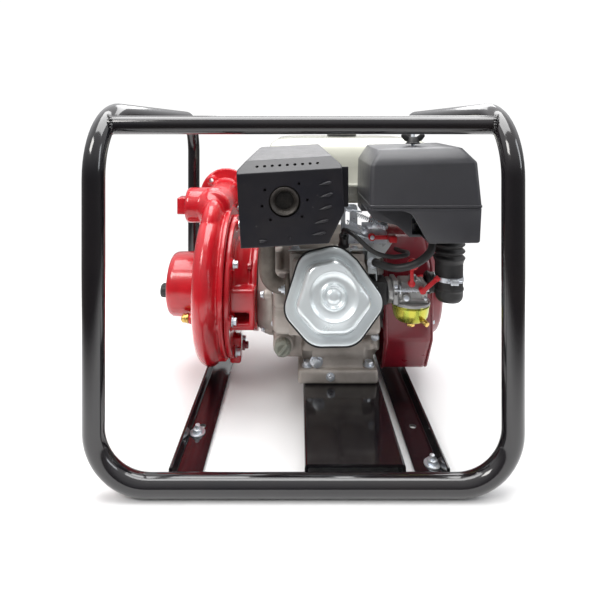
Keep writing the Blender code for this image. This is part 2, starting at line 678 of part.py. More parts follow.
def spark_plug_group():
    foot, lean = along_cylinder(*PLUG_FOOT), PLUG_LEAN
    plug = joined(hexagon(foot + lean * 0.0062, foot + lean * 0.0120, 0.018),
                  rod(foot + lean * 0.008, foot + lean * 0.026, 0.0050, 16))
    link(plug, "spark_plug", CERAMIC)
    boot = cut(rod(foot + lean * 0.0125, foot + lean * 0.033, 0.0085, 20),
               rod(foot + lean * 0.0100, foot + lean * 0.0265, 0.0053, 16))
    link(boot, "plug_cap", RUBBER)
    top = foot + lean * 0.0355
    line = smooth([top, top + lean * 0.005, Vector((0.078, -0.166, 0.302)),
                   Vector((0.104, -0.181, 0.281)), Vector((0.130, -0.182, 0.273)),
                   Vector((0.156, -0.168, 0.271)), Vector((0.166, -0.140, 0.268)),
                   Vector((0.164, -0.110, 0.262)), Vector((0.160, -0.076, 0.257))], 30)
    link(tube(line, 0.0035, 2), "ignition_lead", RUBBER)


def shroud():
    near, far = 0.0995, 0.1815
    left, right, low, high, thick = BORE_X - 0.062, BORE_X + 0.076, -0.030, 0.0660, 0.0015
    bent = plate([(left, high), (left, high - thick), (right - thick, high - thick),
                  (right - thick, low), (right, low), (right, high)], -far, -near, "Y", CYLINDER)
    lip = box((BORE_X + 0.0625, -far + 0.0005, 0.030), (right - 0.0005, -far + 0.0020,
                                                      high - 0.0005), CYLINDER)
    foot = along_cylinder(*PLUG_FOOT)
    reach = SPACER + 0.002
    port = box((0.110, CARB_Y - reach, CARB_Z - reach), (0.120, CARB_Y + reach, CARB_Z + reach))
    plug_hole = rod(foot - PLUG_LEAN * 0.004, foot + PLUG_LEAN * 0.030, 0.0125, 20)
    link(cut(joined(bent, lip), port, plug_hole), "cylinder_shroud", SILVER_PAINT)


# ---------------------------------------------------------------- starter and flywheel
def fan_outline(inset=0.0):
    reach = 0.122 - inset
    corners = [(-0.110 + inset, -0.060, 0.02), (-0.066, -0.130 + inset, 0.02),
               (0.080, -0.130 + inset, 0.03), (reach, -0.075, 0.03), (reach, 0.060, 0.04),
               (0.060, 0.120 - inset, 0.04), (-0.060, 0.120 - inset, 0.04),
               (-0.110 + inset, 0.065, 0.04)]
    return [(SHAFT_Y + u, SHAFT_Z + v) for u, v in filleted(corners, 3)]


def starter_group():
    low, high = FAN_X
    shell = rounded(plate(fan_outline(), low, high, "X"), 0.010, 3, 60)
    inner = plate(fan_outline(0.004), low - 0.001, high - 0.004, "X")
    cut(shell, inner, rod_x(high - 0.01, high + 0.01, 0.070))
    link(shell, "fan_housing", DARK_RED)
    start = high + GAP
    cover = turned([(RECOIL_X - 0.003, 0.0), (RECOIL_X - 0.003, 0.068),
                    (RECOIL_X - 0.012, 0.080), (start, 0.080), (start, 0.092),
                    (start + 0.004, 0.092), (RECOIL_X - 0.010, 0.086), (RECOIL_X, 0.070),
                    (RECOIL_X, 0.0)], SHAFT)
    post = rod_x(0.2280, RECOIL_X - 0.0015, 0.0136)
    rope_hole = rod((0.2355, SHAFT_Y, SHAFT_Z + 0.058), (0.2355, 0.14, SHAFT_Z + 0.058),
                    0.0055, 12)
    link(cut(joined(cover, post), rope_hole), "recoil_cover", DARK_RED)
    pulley = turned([(0.2290, 0.0140), (0.2290, 0.064), (0.2310, 0.064), (0.2330, 0.056),
                     (0.2380, 0.056), (0.2400, 0.064), (0.2420, 0.064), (0.2420, 0.0140)],
                    SHAFT, ring=True, steps=24)
    link(pulley, "recoil_pulley", GREY_PLASTIC)
    rope_z = SHAFT_Z + 0.058
    grip = rounded(box((0.2245, 0.1180, rope_z - 0.034), (0.2465, 0.1400, rope_z + 0.034)),
                   0.006)
    link(grip, "starter_grip", RUBBER)
    wheel = turned([(0.1520, 0.0170), (0.1520, 0.082), (0.1720, 0.082), (0.1760, 0.040),
                    (0.1980, 0.040), (0.1980, 0.036), (0.1720, 0.030), (0.1720, 0.0170)],
                   SHAFT, ring=True, steps=28)
    fins = []
    for k in range(8):
        turn = Matrix.Translation(SHAFT) @ Matrix.Rotation(2 * math.pi * k / 8, 4, "X")
        fins.append(box((0.1700, -0.0015, 0.050), (0.1900, 0.0015, 0.080), turn))
    link(joined(wheel, *fins), "flywheel", CAST_ALUMINIUM)
    coil = box((0.1530, SHAFT_Y - 0.022, SHAFT_Z + 0.0830), (0.1720, SHAFT_Y + 0.022,
                                                           SHAFT_Z + 0.1060))
    link(rounded(coil, 0.002, 1), "ignition_coil", GREY_PLASTIC)
    x, face, z = 0.200, SHAFT_Y - 0.110, 0.206
    knob = joined(rod((x, face - 0.012, z), (x, face - GAP, z), 0.012, 20),
                  box((x - 0.002, face - 0.018, z - 0.010), (x + 0.002, face - 0.008, z + 0.010)))
    link(knob, "stop_switch", RED_PLASTIC)


# ---------------------------------------------------------------- exhaust
def shield_solid(inset):
    """The outer form of the heat shield, drawn in by inset."""
    low_x, high_x = SHIELD_X[0] + inset, SHIELD_X[1] - inset
    front, back = SHIELD_Y[0] + inset, SHIELD_Y[1]
    bottom, top = SHIELD_Z[0], SHIELD_Z[1] - inset
    side = [(front, bottom), (back, bottom), (back, top), (-0.100, top),
            (-0.198 + inset / 2, 0.420 - inset), (front, 0.404 - inset / 2)]
    body = plate(side, low_x, high_x, "X")
    slope = 0.026
    faces = [(low_x, bottom), (high_x - 0.018, bottom), (high_x, bottom + 0.020),
             (high_x, top - slope), (high_x - slope, top), (low_x + slope, top),
             (low_x, top - slope)]
    return kept(body, plate(faces, front - 0.01, back + 0.01, "Y"))


def exhaust():
    shell = shield_solid(0.0)
    hollow = shield_solid(0.0018)
    solid = baked(hollow)
    below = box((SHIELD_X[0] + 0.0018, SHIELD_Y[0] + 0.0018, SHIELD_Z[0] - 0.01),
                (SHIELD_X[1] - 0.022, SHIELD_Y[1] + 0.01, SHIELD_Z[0] + 0.03))
    behind = box((SHIELD_X[0] + 0.0018, SHIELD_Y[1] - 0.01, SHIELD_Z[0] - 0.01),
                 (SHIELD_X[1] - 0.022, SHIELD_Y[1] + 0.01, SHIELD_Z[1] - 0.030))
    hole = rod((OUTLET_X, -0.23, OUTLET_Z), (OUTLET_X, -0.20, OUTLET_Z), 0.0180, 28)
    cut(shell, solid, below, behind, hole)
    link(shell, "muffler_heat_shield", SATIN_BLACK)
    can = rounded(box((-0.084, -0.207, 0.306), (0.032, -0.084, 0.396)), 0.014, 2)
    outlet = rod((OUTLET_X, -0.2185, OUTLET_Z), (OUTLET_X, -0.200, OUTLET_Z), 0.0155, 28)
    bore = rod((OUTLET_X, -0.225, OUTLET_Z), (OUTLET_X, -0.170, OUTLET_Z), 0.0135, 28)
    inside = rounded(box((-0.0815, -0.2045, 0.3085), (0.0295, -0.0865, 0.3935)), 0.0115, 2)
    link(cut(joined(can, outlet), inside, bore), "muffler", SATIN_BLACK)
    port = along_cylinder(0.166, BORE_X - 0.060 - GAP, 0.010)
    corner = port + Vector((-0.035, 0, 0))
    pipe = tube(route([port, corner, (corner.x, corner.y, 0.3055)], (0.025,), 6), 0.0130, 3)
    link(pipe, "exhaust_pipe", STEEL)


# ---------------------------------------------------------------- fuel and air
def fuel_system():
    body = rounded(box((TANK_X[0] + 0.005, TANK_Y[0] + 0.005, TANK_Z[0]),
                       (TANK_X[1] - 0.005, TANK_Y[1] - 0.005, TANK_Z[1])), 0.022, 3)
    seam = rounded(box((TANK_X[0], TANK_Y[0], 0.3620), (TANK_X[1], TANK_Y[1], 0.3665)),
                   0.012, 2, 80)
    inner = box((TANK_X[0] + 0.007, TANK_Y[0] + 0.007, TANK_Z[0] + 0.002),
                (TANK_X[1] - 0.007, TANK_Y[1] - 0.007, TANK_Z[1] - 0.002))
    neck = rod((CAP_X, CAP_Y, TANK_Z[1] - 0.02), (CAP_X, CAP_Y, TANK_Z[1] + 0.02), 0.0220, 24)
    link(cut(joined(body, seam), rounded(inner, 0.020, 2), neck), "fuel_tank", TANK_PAINT)
    low = TANK_Z[1] + GAP
    cap = turned([(low + 0.019, 0.0), (low + 0.019, 0.026), (low + 0.015, 0.030),
                  (low, 0.030), (low, 0.0215), (low - 0.010, 0.0215), (low - 0.010, 0.0)],
                 (CAP_X, CAP_Y, 0.0), "Z", 28)
    link(cap, "fuel_cap", RUBBER)


def air_cleaner():
    low, seam, high = FILTER_Z
    base_outline = [(-0.055, low), (0.070, low), (0.075, low + 0.006), (0.075, seam),
                    (-0.075, seam), (-0.075, seam - 0.012)]
    arc = []
    for k in range(1, 5):
        angle = math.radians(90 - 20 * k)
        arc.append((-0.073 + 0.030 * (1 - math.sin(angle)), seam - 0.012 - 0.026 * k / 5))
    middle = (FILTER_X[0] + FILTER_X[1]) / 2
    outline = [(middle + u, w) for u, w in base_outline + arc]
    base = plate(outline, FILTER_Y[0], FILTER_Y[1], "Y")
    hollow = box((FILTER_X[0] + 0.030, FILTER_Y[0] + 0.004, low + 0.004),
                 (FILTER_X[1] - 0.004, FILTER_Y[1] - 0.004, seam + 0.01))
    cut(base, hollow)
    stud_x, stud_y = STUD
    post = rod((stud_x, stud_y, low + 0.002), (stud_x, stud_y, high + 0.020), 0.0030, 12)
    intake = rod((ELBOW_X, ELBOW_Y, low - 0.01), (ELBOW_X, ELBOW_Y, low + 0.02), 0.0140, 20)
    pedestal = rod((stud_x, stud_y, low + 0.002), (stud_x, stud_y, low + 0.010), 0.0080, 12)
    cut(joined(base, pedestal, post), intake)
    link(base, "air_cleaner_base", GREY_PLASTIC)
    start = seam + GAP
    front = [(FILTER_X[0], start), (FILTER_X[1], start), (FILTER_X[1] - 0.002, high - 0.024),
             (FILTER_X[1] - 0.012, high - 0.004), (FILTER_X[1] - 0.020, high),
             (FILTER_X[0] + 0.014, high), (FILTER_X[0] + 0.004, high - 0.010)]
    cover = plate(front, FILTER_Y[0], FILTER_Y[1], "Y")
    side = [(FILTER_Y[0], start), (FILTER_Y[1], start), (FILTER_Y[1], high),
            (FILTER_Y[0] + 0.020, high), (FILTER_Y[0], high - 0.018)]
    kept(cover, plate(side, FILTER_X[0] - 0.01, FILTER_X[1] + 0.01, "X"))
    wall = 0.003
    inside = box((FILTER_X[0] + 0.0075, FILTER_Y[0] + 0.014, start - 0.01),
                 (FILTER_X[1] - 0.020, FILTER_Y[1] - wall, high - wall))
    lower = box((FILTER_X[0] + wall, FILTER_Y[0] + wall, start - 0.01),
                (FILTER_X[1] - wall - 0.002, FILTER_Y[1] - wall, high - 0.030))
    stud_hole = rod((stud_x, stud_y, high - 0.02), (stud_x, stud_y, high + 0.02), 0.0036, 12)
    cut(cover, inside, lower, stud_hole)
    link(cover, "air_cleaner_cover", GREY_PLASTIC)
    element = box((FILTER_X[0] + 0.035, FILTER_Y[0] + 0.020, low + 0.0125),
                  (FILTER_X[1] - 0.022, FILTER_Y[1] - 0.012, high - 0.012))
    core = box((FILTER_X[0] + 0.047, FILTER_Y[0] + 0.032, low),
               (FILTER_X[1] - 0.034, FILTER_Y[1] - 0.024, high))
    link(cut(element, core), "filter_element", PAPER)
    hub = rod((stud_x, stud_y, high + GAP), (stud_x, stud_y, high + 0.009), 0.0085, 16)
    wings = rounded(box((stud_x - 0.017, stud_y - 0.0025, high + 0.003),
                        (stud_x + 0.017, stud_y + 0.0025, high + 0.017)), 0.0015, 1)
    hole = rod((stud_x, stud_y, high - 0.01), (stud_x, stud_y, high + 0.03), 0.0036, 12)
    link(cut(joined(hub, wings), hole), "wing_nut", RUBBER)


def carburettor():
    spacer = box((0.1005, CARB_Y - SPACER, CARB_Z - SPACER),
                 (0.1330, CARB_Y + SPACER, CARB_Z + SPACER))
    passage = rod_x(0.095, 0.140, 0.0115, CARB_Y, CARB_Z, 20)
    link(cut(rounded(spacer, 0.003, 1), passage), "carburettor_insulator", RUBBER)
    body = rod_x(0.1333, 0.1950, 0.0185, CARB_Y, CARB_Z, 28)
    flange = rounded(box((0.1333, CARB_Y - 0.025, CARB_Z - 0.019),
                         (0.1400, CARB_Y + 0.025, CARB_Z + 0.019)), 0.004, 1)
    tower = rounded(box((BOWL_X - 0.018, CARB_Y - 0.020, CARB_Z - 0.018),
                        (BOWL_X + 0.016, CARB_Y + 0.018, CARB_Z + 0.026)), 0.003, 1)
    rim = rod((BOWL_X, CARB_Y, 0.1875), (BOWL_X, CARB_Y, 0.1920), 0.0310, 28)
    joined(body, flange, tower, rim)
    cut(body, rod_x(0.130, 0.200, 0.0120, CARB_Y, CARB_Z, 20))
    link(body, "carburettor", ZINC)
    bowl = turned([(0.1872, 0.0), (0.1872, 0.0300), (0.1830, 0.0300), (0.1680, 0.0270),
                   (0.1600, 0.0220), (0.1590, 0.0)], (BOWL_X, CARB_Y, 0.0), "Z", 28)
    link(bowl, "float_bowl", CHROMATE)
    bolt = hexagon((BOWL_X, CARB_Y, 0.1500), (BOWL_X, CARB_Y, 0.1587), 0.012)
    link(bolt, "bowl_bolt", ZINC)


def intake_elbow():
    """A moulded elbow from the carburettor mouth up to the air cleaner."""
    low, high = 0.196, FILTER_Z[0] - GAP
    riser = turned([(low, 0.0), (low, 0.017), (low + 0.006, 0.021), (0.262, 0.021),
                    (0.266, 0.024), (0.272, 0.0205), (0.278, 0.024), (0.284, 0.0205),
                    (0.290, 0.024), (high, 0.0215), (high, 0.0)],
                   (ELBOW_X, ELBOW_Y, 0.0), "Z", 20)
    mouth = rod_x(0.1953, ELBOW_X, 0.0160, CARB_Y, CARB_Z + 0.012, 24)
    joined(riser, mouth)
    cut(riser, rod((ELBOW_X, ELBOW_Y, low + 0.006), (ELBOW_X, ELBOW_Y, high + 0.01), 0.0150, 24),
        rod_x(0.190, ELBOW_X, 0.0105, CARB_Y, CARB_Z + 0.012, 20))
    link(riser, "intake_elbow", RUBBER)


def levers():
    front = CARB_Y - 0.020
    x, z = BOWL_X - 0.004, CARB_Z + 0.018
    arm = joined(rod((x, front - GAP, z), (x, front - 0.008, z), 0.0055, 16),
                 box((x - 0.003, front - 0.0080, z), (x + 0.003, front - 0.0050, z + 0.034)),
                 rounded(box((x - 0.006, front - 0.0180, z + 0.026),
                             (x + 0.006, front - 0.0055, z + 0.038)), 0.002, 1))
    link(arm, "choke_lever", RED_PLASTIC)
    x, z = BOWL_X + 0.012, CARB_Z + 0.008
    lean = Matrix.Translation((x, 0, z)) @ Matrix.Rotation(math.radians(48), 4, "Y")
    valve = joined(rod((x, front - GAP, z), (x, front - 0.012, z), 0.0050, 16),
                   rounded(box((-0.0035, front - 0.0125, 0.0), (0.0035, front - 0.0085, 0.033),
                               lean), 0.001, 1))
    link(valve, "fuel_valve_lever", RED_PLASTIC)
    bracket = plate([(0.062, 0.277), (0.138, 0.277), (0.138, 0.300), (0.0895, 0.300),
                     (0.0895, 0.341), (0.062, 0.341)], -0.1205, -0.1185, "Y")
    foot = box((0.120, -0.1200, 0.2770), (0.138, -0.062, 0.2790))
    link(joined(bracket, foot), "control_bracket", ZINC)
    x, z = 0.112, 0.289
    throttle = joined(rod((x, -0.1208, z), (x, -0.1300, z), 0.0060, 16),
                      box((x, -0.1300, z - 0.0035), (x + 0.030, -0.1270, z + 0.0035)),
                      rounded(box((x + 0.024, -0.1480, z - 0.0050),
                                  (x + 0.037, -0.1265, z + 0.0060)), 0.002, 1))
    link(throttle, "throttle_lever", RED_PLASTIC)
    governor = joined(rod((0.128, -0.040, CASE_Z[1] + GAP), (0.128, -0.040, 0.2890), 0.0040, 12),
                      box((0.1240, -0.112, 0.2860), (0.1320, -0.036, 0.2880)))
    link(governor, "governor_arm", ZINC)


def breather_hose():
    line = smooth([Vector((0.113, -0.152, 0.256)), Vector((0.120, -0.170, 0.257)),
                   Vector((0.140, -0.192, 0.259)), Vector((0.166, -0.198, 0.268)),
                   Vector((0.188, -0.188, 0.281)), Vector((0.194, -0.180, 0.294)),
                   Vector((0.194, -0.180, 0.3030))], 20)
    link(tube(line, 0.0058, 2), "breather_hose", RUBBER)


roll_frame()
rail("left_rail", -0.174, True)
rail("right_rail", 0.150, False)
engine_plate()
volute_casing()
pump_fittings()
impeller()
pump_adapter()
crankcase()
block_fittings()
engine_internals()
cylinder_head()
rocker_cover()
spark_plug_group()
shroud()
starter_group()
exhaust()
fuel_system()
air_cleaner()
carburettor()
intake_elbow()
levers()
breather_hose()

for obj in parts.objects:
    if obj.type == "MESH":
        obj.data.shade_smooth()
        obj.data.set_sharp_from_angle(angle=math.radians(35))
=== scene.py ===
"""Looks of a portable fire pump: a petrol engine and a red centrifugal pump in a black roll frame."""
import json
import math

import bmesh
import bpy
from mathutils import Matrix, Vector


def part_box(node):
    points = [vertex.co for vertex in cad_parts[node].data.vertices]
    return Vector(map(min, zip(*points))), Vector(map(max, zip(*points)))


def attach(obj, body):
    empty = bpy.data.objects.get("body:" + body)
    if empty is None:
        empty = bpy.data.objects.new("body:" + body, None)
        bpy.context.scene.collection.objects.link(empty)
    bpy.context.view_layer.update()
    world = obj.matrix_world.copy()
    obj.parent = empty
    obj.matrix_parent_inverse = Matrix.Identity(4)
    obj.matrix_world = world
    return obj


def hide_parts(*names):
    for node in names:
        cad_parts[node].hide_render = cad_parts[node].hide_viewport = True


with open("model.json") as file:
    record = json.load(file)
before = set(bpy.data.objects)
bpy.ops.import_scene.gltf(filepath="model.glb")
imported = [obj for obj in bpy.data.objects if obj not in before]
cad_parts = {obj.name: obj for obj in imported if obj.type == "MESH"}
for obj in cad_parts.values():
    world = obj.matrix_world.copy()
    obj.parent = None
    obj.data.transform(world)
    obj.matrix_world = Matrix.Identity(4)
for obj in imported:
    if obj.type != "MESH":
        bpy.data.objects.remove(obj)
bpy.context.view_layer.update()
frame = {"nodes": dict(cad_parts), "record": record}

ROOT = "engine_and_frame"
scene = bpy.context.scene
kept_nodes = dict(frame["nodes"])

# ------------------------------------------------------------ driving places, read from the frame
TUBE_LOW, TUBE_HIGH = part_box("front_frame_tube")
TUBE_R = 0.014
POST_X = TUBE_HIGH.x - TUBE_R
POST_Y = -(TUBE_LOW.y + TUBE_R)
FRAME_TOP = TUBE_HIGH.z - TUBE_R
TOP_BEND_R, LOW_BEND_R = 0.085, 0.07
SHAFT = Vector((0.0, 0.02, 0.166))
TILT = math.radians(13.5)
BORE_X = 0.04
CYLINDER = Matrix.Translation(SHAFT) @ Matrix.Rotation(-TILT, 4, "X")


def along_cylinder(s, x=BORE_X, up=0.0):
    """A point s from the crank along the tilted cylinder."""
    return CYLINDER @ Vector((x, -s, up))


# ------------------------------------------------------------ materials
def surface(name, base, rough, metallic=0.0, second=None, patch=18.0, grain=900.0, bump=0.06, coat=0.0,
        rough_spread=0.08, scuff=None, scuff_share=0.0, stretch=(1, 1, 1)):
    """A procedural surface: patchy colour, a fine grain in the relief, and a few scuffs."""
    look = bpy.data.materials.new(name)
    look.use_nodes = True
    tree = look.node_tree
    nodes, links = tree.nodes, tree.links
    shader = nodes["Principled BSDF"]
    shader.inputs["Metallic"].default_value = metallic
    shader.inputs["Coat Weight"].default_value = coat
    shader.inputs["Coat Roughness"].default_value = 0.06
    place = nodes.new("ShaderNodeTexCoord")
    mapping = nodes.new("ShaderNodeMapping")
    mapping.inputs["Scale"].default_value = stretch
    links.new(place.outputs["Object"], mapping.inputs["Vector"])

    def noise(scale, detail, roughness=0.55):
        node = nodes.new("ShaderNodeTexNoise")
        node.inputs["Scale"].default_value = scale
        node.inputs["Detail"].default_value = detail
        node.inputs["Roughness"].default_value = roughness
        links.new(mapping.outputs["Vector"], node.inputs["Vector"])
        return node.outputs["Fac"]

    def ramp(value, low, high):
        node = nodes.new("ShaderNodeMapRange")
        node.inputs["From Min"].default_value = low
        node.inputs["From Max"].default_value = high
        links.new(value, node.inputs["Value"])
        return node.outputs["Result"]

    def mix(share, first, other):
        node = nodes.new("ShaderNodeMix")
        node.data_type = "RGBA"
        links.new(share, node.inputs["Factor"])
        for socket, colour in ((node.inputs["A"], first), (node.inputs["B"], other)):
            if isinstance(colour, bpy.types.NodeSocket):
                links.new(colour, socket)
            else:
                socket.default_value = (*colour, 1.0)
        return node.outputs["Result"]

    second = second or tuple(c * 0.72 for c in base)
    colour = mix(ramp(noise(patch, 4), 0.35, 0.68), base, second)
    if scuff:
        edge = 0.5 + 0.25 * (1 - scuff_share)
        colour = mix(ramp(noise(patch * 7, 8, 0.7), edge, edge + 0.06), colour, scuff)
    links.new(colour, shader.inputs["Base Color"])
    gloss = nodes.new("ShaderNodeMapRange")
    gloss.inputs["To Min"].default_value = max(rough - rough_spread, 0.03)
    gloss.inputs["To Max"].default_value = rough + rough_spread
    links.new(noise(patch * 3, 5), gloss.inputs["Value"])
    links.new(gloss.outputs["Result"], shader.inputs["Roughness"])
    relief = nodes.new("ShaderNodeBump")
    relief.inputs["Strength"].default_value = bump
    relief.inputs["Distance"].default_value = 0.0006
    links.new(noise(grain, 3), relief.inputs["Height"])
    links.new(relief.outputs["Normal"], shader.inputs["Normal"])
    return look


FRAME_PAINT = surface("frame_gloss_black", (0.0065, 0.006, 0.008), 0.13, second=(0.011, 0.009, 0.01),
    patch=9, grain=260, bump=0.05, coat=0.6, scuff=(0.05, 0.045, 0.045), scuff_share=0.25)
RED_PAINT = surface("pump_gloss_red", (0.62, 0.012, 0.022), 0.24, second=(0.44, 0.007, 0.014), patch=14,
    grain=330, bump=0.22, coat=0.5, scuff=(0.3, 0.02, 0.02), scuff_share=0.2)
HOUSING_PAINT = surface("housing_dark_red", (0.24, 0.01, 0.022), 0.3, second=(0.16, 0.008, 0.016),
    patch=16, grain=300, bump=0.1, coat=0.35, scuff=(0.35, 0.08, 0.07), scuff_share=0.25)
CAST = surface("cast_aluminium", (0.56, 0.515, 0.475), 0.45, 0.35, second=(0.4, 0.36, 0.325), patch=24,
    grain=520, bump=0.45, scuff=(0.68, 0.66, 0.62), scuff_share=0.45)
COVER = surface("cover_silver", (0.88, 0.93, 0.94), 0.26, 0.48, second=(0.81, 0.88, 0.91), patch=5,
    grain=160, bump=0.02, coat=0.4, rough_spread=0.04)
MUFFLER_PAINT = surface("muffler_satin_black", (0.012, 0.012, 0.017), 0.34, second=(0.02, 0.018, 0.021),
    patch=20, grain=650, bump=0.25, scuff=(0.075, 0.07, 0.07), scuff_share=0.35)
PLASTIC = surface("moulded_grey_plastic", (0.062, 0.062, 0.069), 0.33, second=(0.052, 0.052, 0.058),
    patch=10, grain=1500, bump=0.35, scuff=(0.07, 0.07, 0.075), scuff_share=0.2)
CAP_PLASTIC = surface("oil_cap_plastic", (0.3, 0.31, 0.26), 0.5, second=(0.24, 0.25, 0.21), patch=60,
    grain=1400, bump=0.3, scuff=(0.3, 0.3, 0.27), scuff_share=0.3)
TANK_PAINT = surface("tank_pale_silver", (0.66, 0.66, 0.57), 0.24, second=(0.58, 0.58, 0.5), patch=7,
    grain=400, bump=0.05, coat=0.5, scuff=(0.45, 0.44, 0.38), scuff_share=0.1)
ZINC = surface("zinc_plate", (0.76, 0.79, 0.82), 0.3, 0.7, second=(0.62, 0.66, 0.73), patch=90, grain=900,
    bump=0.15, scuff=(0.35, 0.34, 0.33), scuff_share=0.3)
DIE_CAST = surface("carburettor_die_cast", (0.42, 0.42, 0.41), 0.4, 0.7, second=(0.33, 0.33, 0.33),
    patch=60, grain=800, bump=0.35, scuff=(0.6, 0.6, 0.59), scuff_share=0.35)
CHROMATE = surface("yellow_chromate", (0.62, 0.52, 0.08), 0.26, 0.9, second=(0.34, 0.44, 0.07), patch=38,
    grain=900, bump=0.1, scuff=(0.66, 0.36, 0.1), scuff_share=0.4, stretch=(1.6, 1.6, 0.3))
BRASS = surface("brass", (0.72, 0.5, 0.16), 0.25, 1.0, second=(0.58, 0.38, 0.11), patch=80, grain=700,
    bump=0.1, scuff=(0.36, 0.24, 0.08), scuff_share=0.3)
BRONZE = surface("cast_bronze", (0.55, 0.33, 0.13), 0.4, 1.0, second=(0.42, 0.24, 0.09), patch=40,
    grain=500, bump=0.4)
STEEL = surface("machined_steel", (0.5, 0.5, 0.51), 0.28, 1.0, second=(0.42, 0.42, 0.44), patch=30,
    grain=1200, bump=0.15)
RUBBER = surface("black_rubber", (0.014, 0.014, 0.015), 0.48, second=(0.022, 0.021, 0.021), patch=40,
    grain=1100, bump=0.3, scuff=(0.05, 0.048, 0.046), scuff_share=0.3)
RED_PLASTIC = surface("red_plastic", (0.62, 0.012, 0.02), 0.32, second=(0.48, 0.008, 0.014), patch=70,
    grain=1200, bump=0.2, scuff=(0.7, 0.12, 0.1), scuff_share=0.25)
CERAMIC = surface("white_ceramic", (0.8, 0.8, 0.77), 0.15, second=(0.72, 0.72, 0.68), patch=60, grain=900,
    bump=0.05, coat=0.6)
PAPER = surface("filter_paper", (0.62, 0.52, 0.3), 0.85, second=(0.52, 0.43, 0.24), patch=50, grain=1600,
    bump=0.5)
SOOT = surface("sooty_mesh", (0.012, 0.011, 0.01), 0.7, second=(0.03, 0.026, 0.022), patch=120,
    grain=1500, bump=0.6)
ENAMEL = surface("shroud_enamel", (0.66, 0.7, 0.7), 0.3, 0.35, second=(0.52, 0.56, 0.58), patch=16,
    grain=600, bump=0.1, coat=0.3, scuff=(0.4, 0.4, 0.38), scuff_share=0.2)
IRON = surface("heat_stained_iron", (0.2, 0.175, 0.15), 0.55, 0.4, second=(0.12, 0.1, 0.085), patch=45,
    grain=600, bump=0.6, scuff=(0.3, 0.27, 0.24), scuff_share=0.4)
BURNT = surface("burnt_steel", (0.06, 0.053, 0.046), 0.45, 0.5, second=(0.03, 0.026, 0.024), patch=70,
    grain=900, bump=0.3, scuff=(0.12, 0.1, 0.085), scuff_share=0.3)

SLOT_LOOKS = {"frame_paint": FRAME_PAINT, "pump_paint": RED_PAINT, "housing_paint": HOUSING_PAINT,
    "cast_aluminium": CAST, "cover_paint": COVER, "muffler_black": MUFFLER_PAINT, "grey_plastic": PLASTIC,
    "tank_paint": TANK_PAINT, "zinc": ZINC, "chromate": CHROMATE, "brass": BRASS, "bronze": BRONZE,
    "steel": STEEL, "rubber": RUBBER, "red_plastic": RED_PLASTIC, "ceramic": CERAMIC,
    "filter_paper": PAPER}
for entry in frame["record"]["subparts"]:
    mesh = kept_nodes[entry["node"]].data
    mesh.materials.clear()
    mesh.materials.append(SLOT_LOOKS[entry["material_slot"]])


# ------------------------------------------------------------ shapes
def linked(name, data):
    obj = bpy.data.objects.new(name, data)
    scene.collection.objects.link(obj)
    return obj


def shape(bm, matrix=None):
    """A loose shape in the scene, waiting to be put in a piece."""
    if matrix is not None:
        bm.transform(matrix)
    bmesh.ops.recalc_face_normals(bm, faces=bm.faces)
    if bm.calc_volume(signed=True) < 0:
        bmesh.ops.reverse_faces(bm, faces=bm.faces)
    mesh = bpy.data.meshes.new("shape")
    bm.to_mesh(mesh)
    bm.free()
    return linked("shape", mesh)


def settled(obj):
    """The same shape with its modifiers worked in."""
    graph = bpy.context.evaluated_depsgraph_get()
    mesh = bpy.data.meshes.new_from_object(obj.evaluated_get(graph))
    mesh.transform(obj.matrix_world)
    bpy.data.objects.remove(obj)
    return linked("shape", mesh)


def soft_edges(obj, width, segments=3, angle=30):
    bevel = obj.modifiers.new("bevel", "BEVEL")
    bevel.width = width
    bevel.segments = segments
    bevel.limit_method = "ANGLE"
    bevel.angle_limit = math.radians(angle)
    bevel.harden_normals = False
    return settled(obj)


def block(low, high, bevel=0.0, segments=3, matrix=None):
    bm = bmesh.new()
    bmesh.ops.create_cube(bm, size=1.0)
    low, high = Vector(low), Vector(high)
    size, middle = high - low, (high + low) / 2
    for vertex in bm.verts:
        vertex.co = Vector(v * s + m for v, s, m in zip(vertex.co, size, middle))
    obj = shape(bm, matrix)
    return soft_edges(obj, bevel, segments) if bevel else obj


def rod(start, end, radius, end_radius=None, steps=32, bevel=0.0):
    start, end = Vector(start), Vector(end)
    axis = end - start
    bm = bmesh.new()
    bmesh.ops.create_cone(bm, cap_ends=True, segments=steps, radius1=radius,
        radius2=radius if end_radius is None else end_radius, depth=axis.length)
    turn = axis.to_track_quat("Z", "Y").to_matrix().to_4x4()
    obj = shape(bm, Matrix.Translation((start + end) / 2) @ turn)
    return soft_edges(obj, bevel, 2, 50) if bevel else obj


# Rods along an axis: where they start and end, then their place across it.
def rod_x(start, end, y, z, *rest, **options):
    return rod((start, y, z), (end, y, z), *rest, **options)


def rod_y(start, end, x, z, *rest, **options):
    return rod((x, start, z), (x, end, z), *rest, **options)


def rod_z(start, end, x, y, *rest, **options):
    return rod((x, y, start), (x, y, end), *rest, **options)


def skin(rings):
    """Faces between rings of the same number of points."""
    bm = bmesh.new()
    rows = [[bm.verts.new(point) for point in ring] for ring in rings]
    for first, other in zip(rows, rows[1:]):
        for k, corner in enumerate(first):
            following = (k + 1) % len(first)
            bm.faces.new((corner, first[following], other[following], other[k]))
    return bm, rows


def loft(rings, caps=True):
    bm, rows = skin(rings)
    if caps:
        bm.faces.new(rows[0][::-1])
        bm.faces.new(rows[-1])
    return shape(bm)


AXES = {"X": (Vector((1, 0, 0)), Vector((0, 1, 0)), Vector((0, 0, 1))),
    "Y": (Vector((0, 1, 0)), Vector((0, 0, 1)), Vector((1, 0, 0))),
    "Z": (Vector((0, 0, 1)), Vector((1, 0, 0)), Vector((0, 1, 0)))}


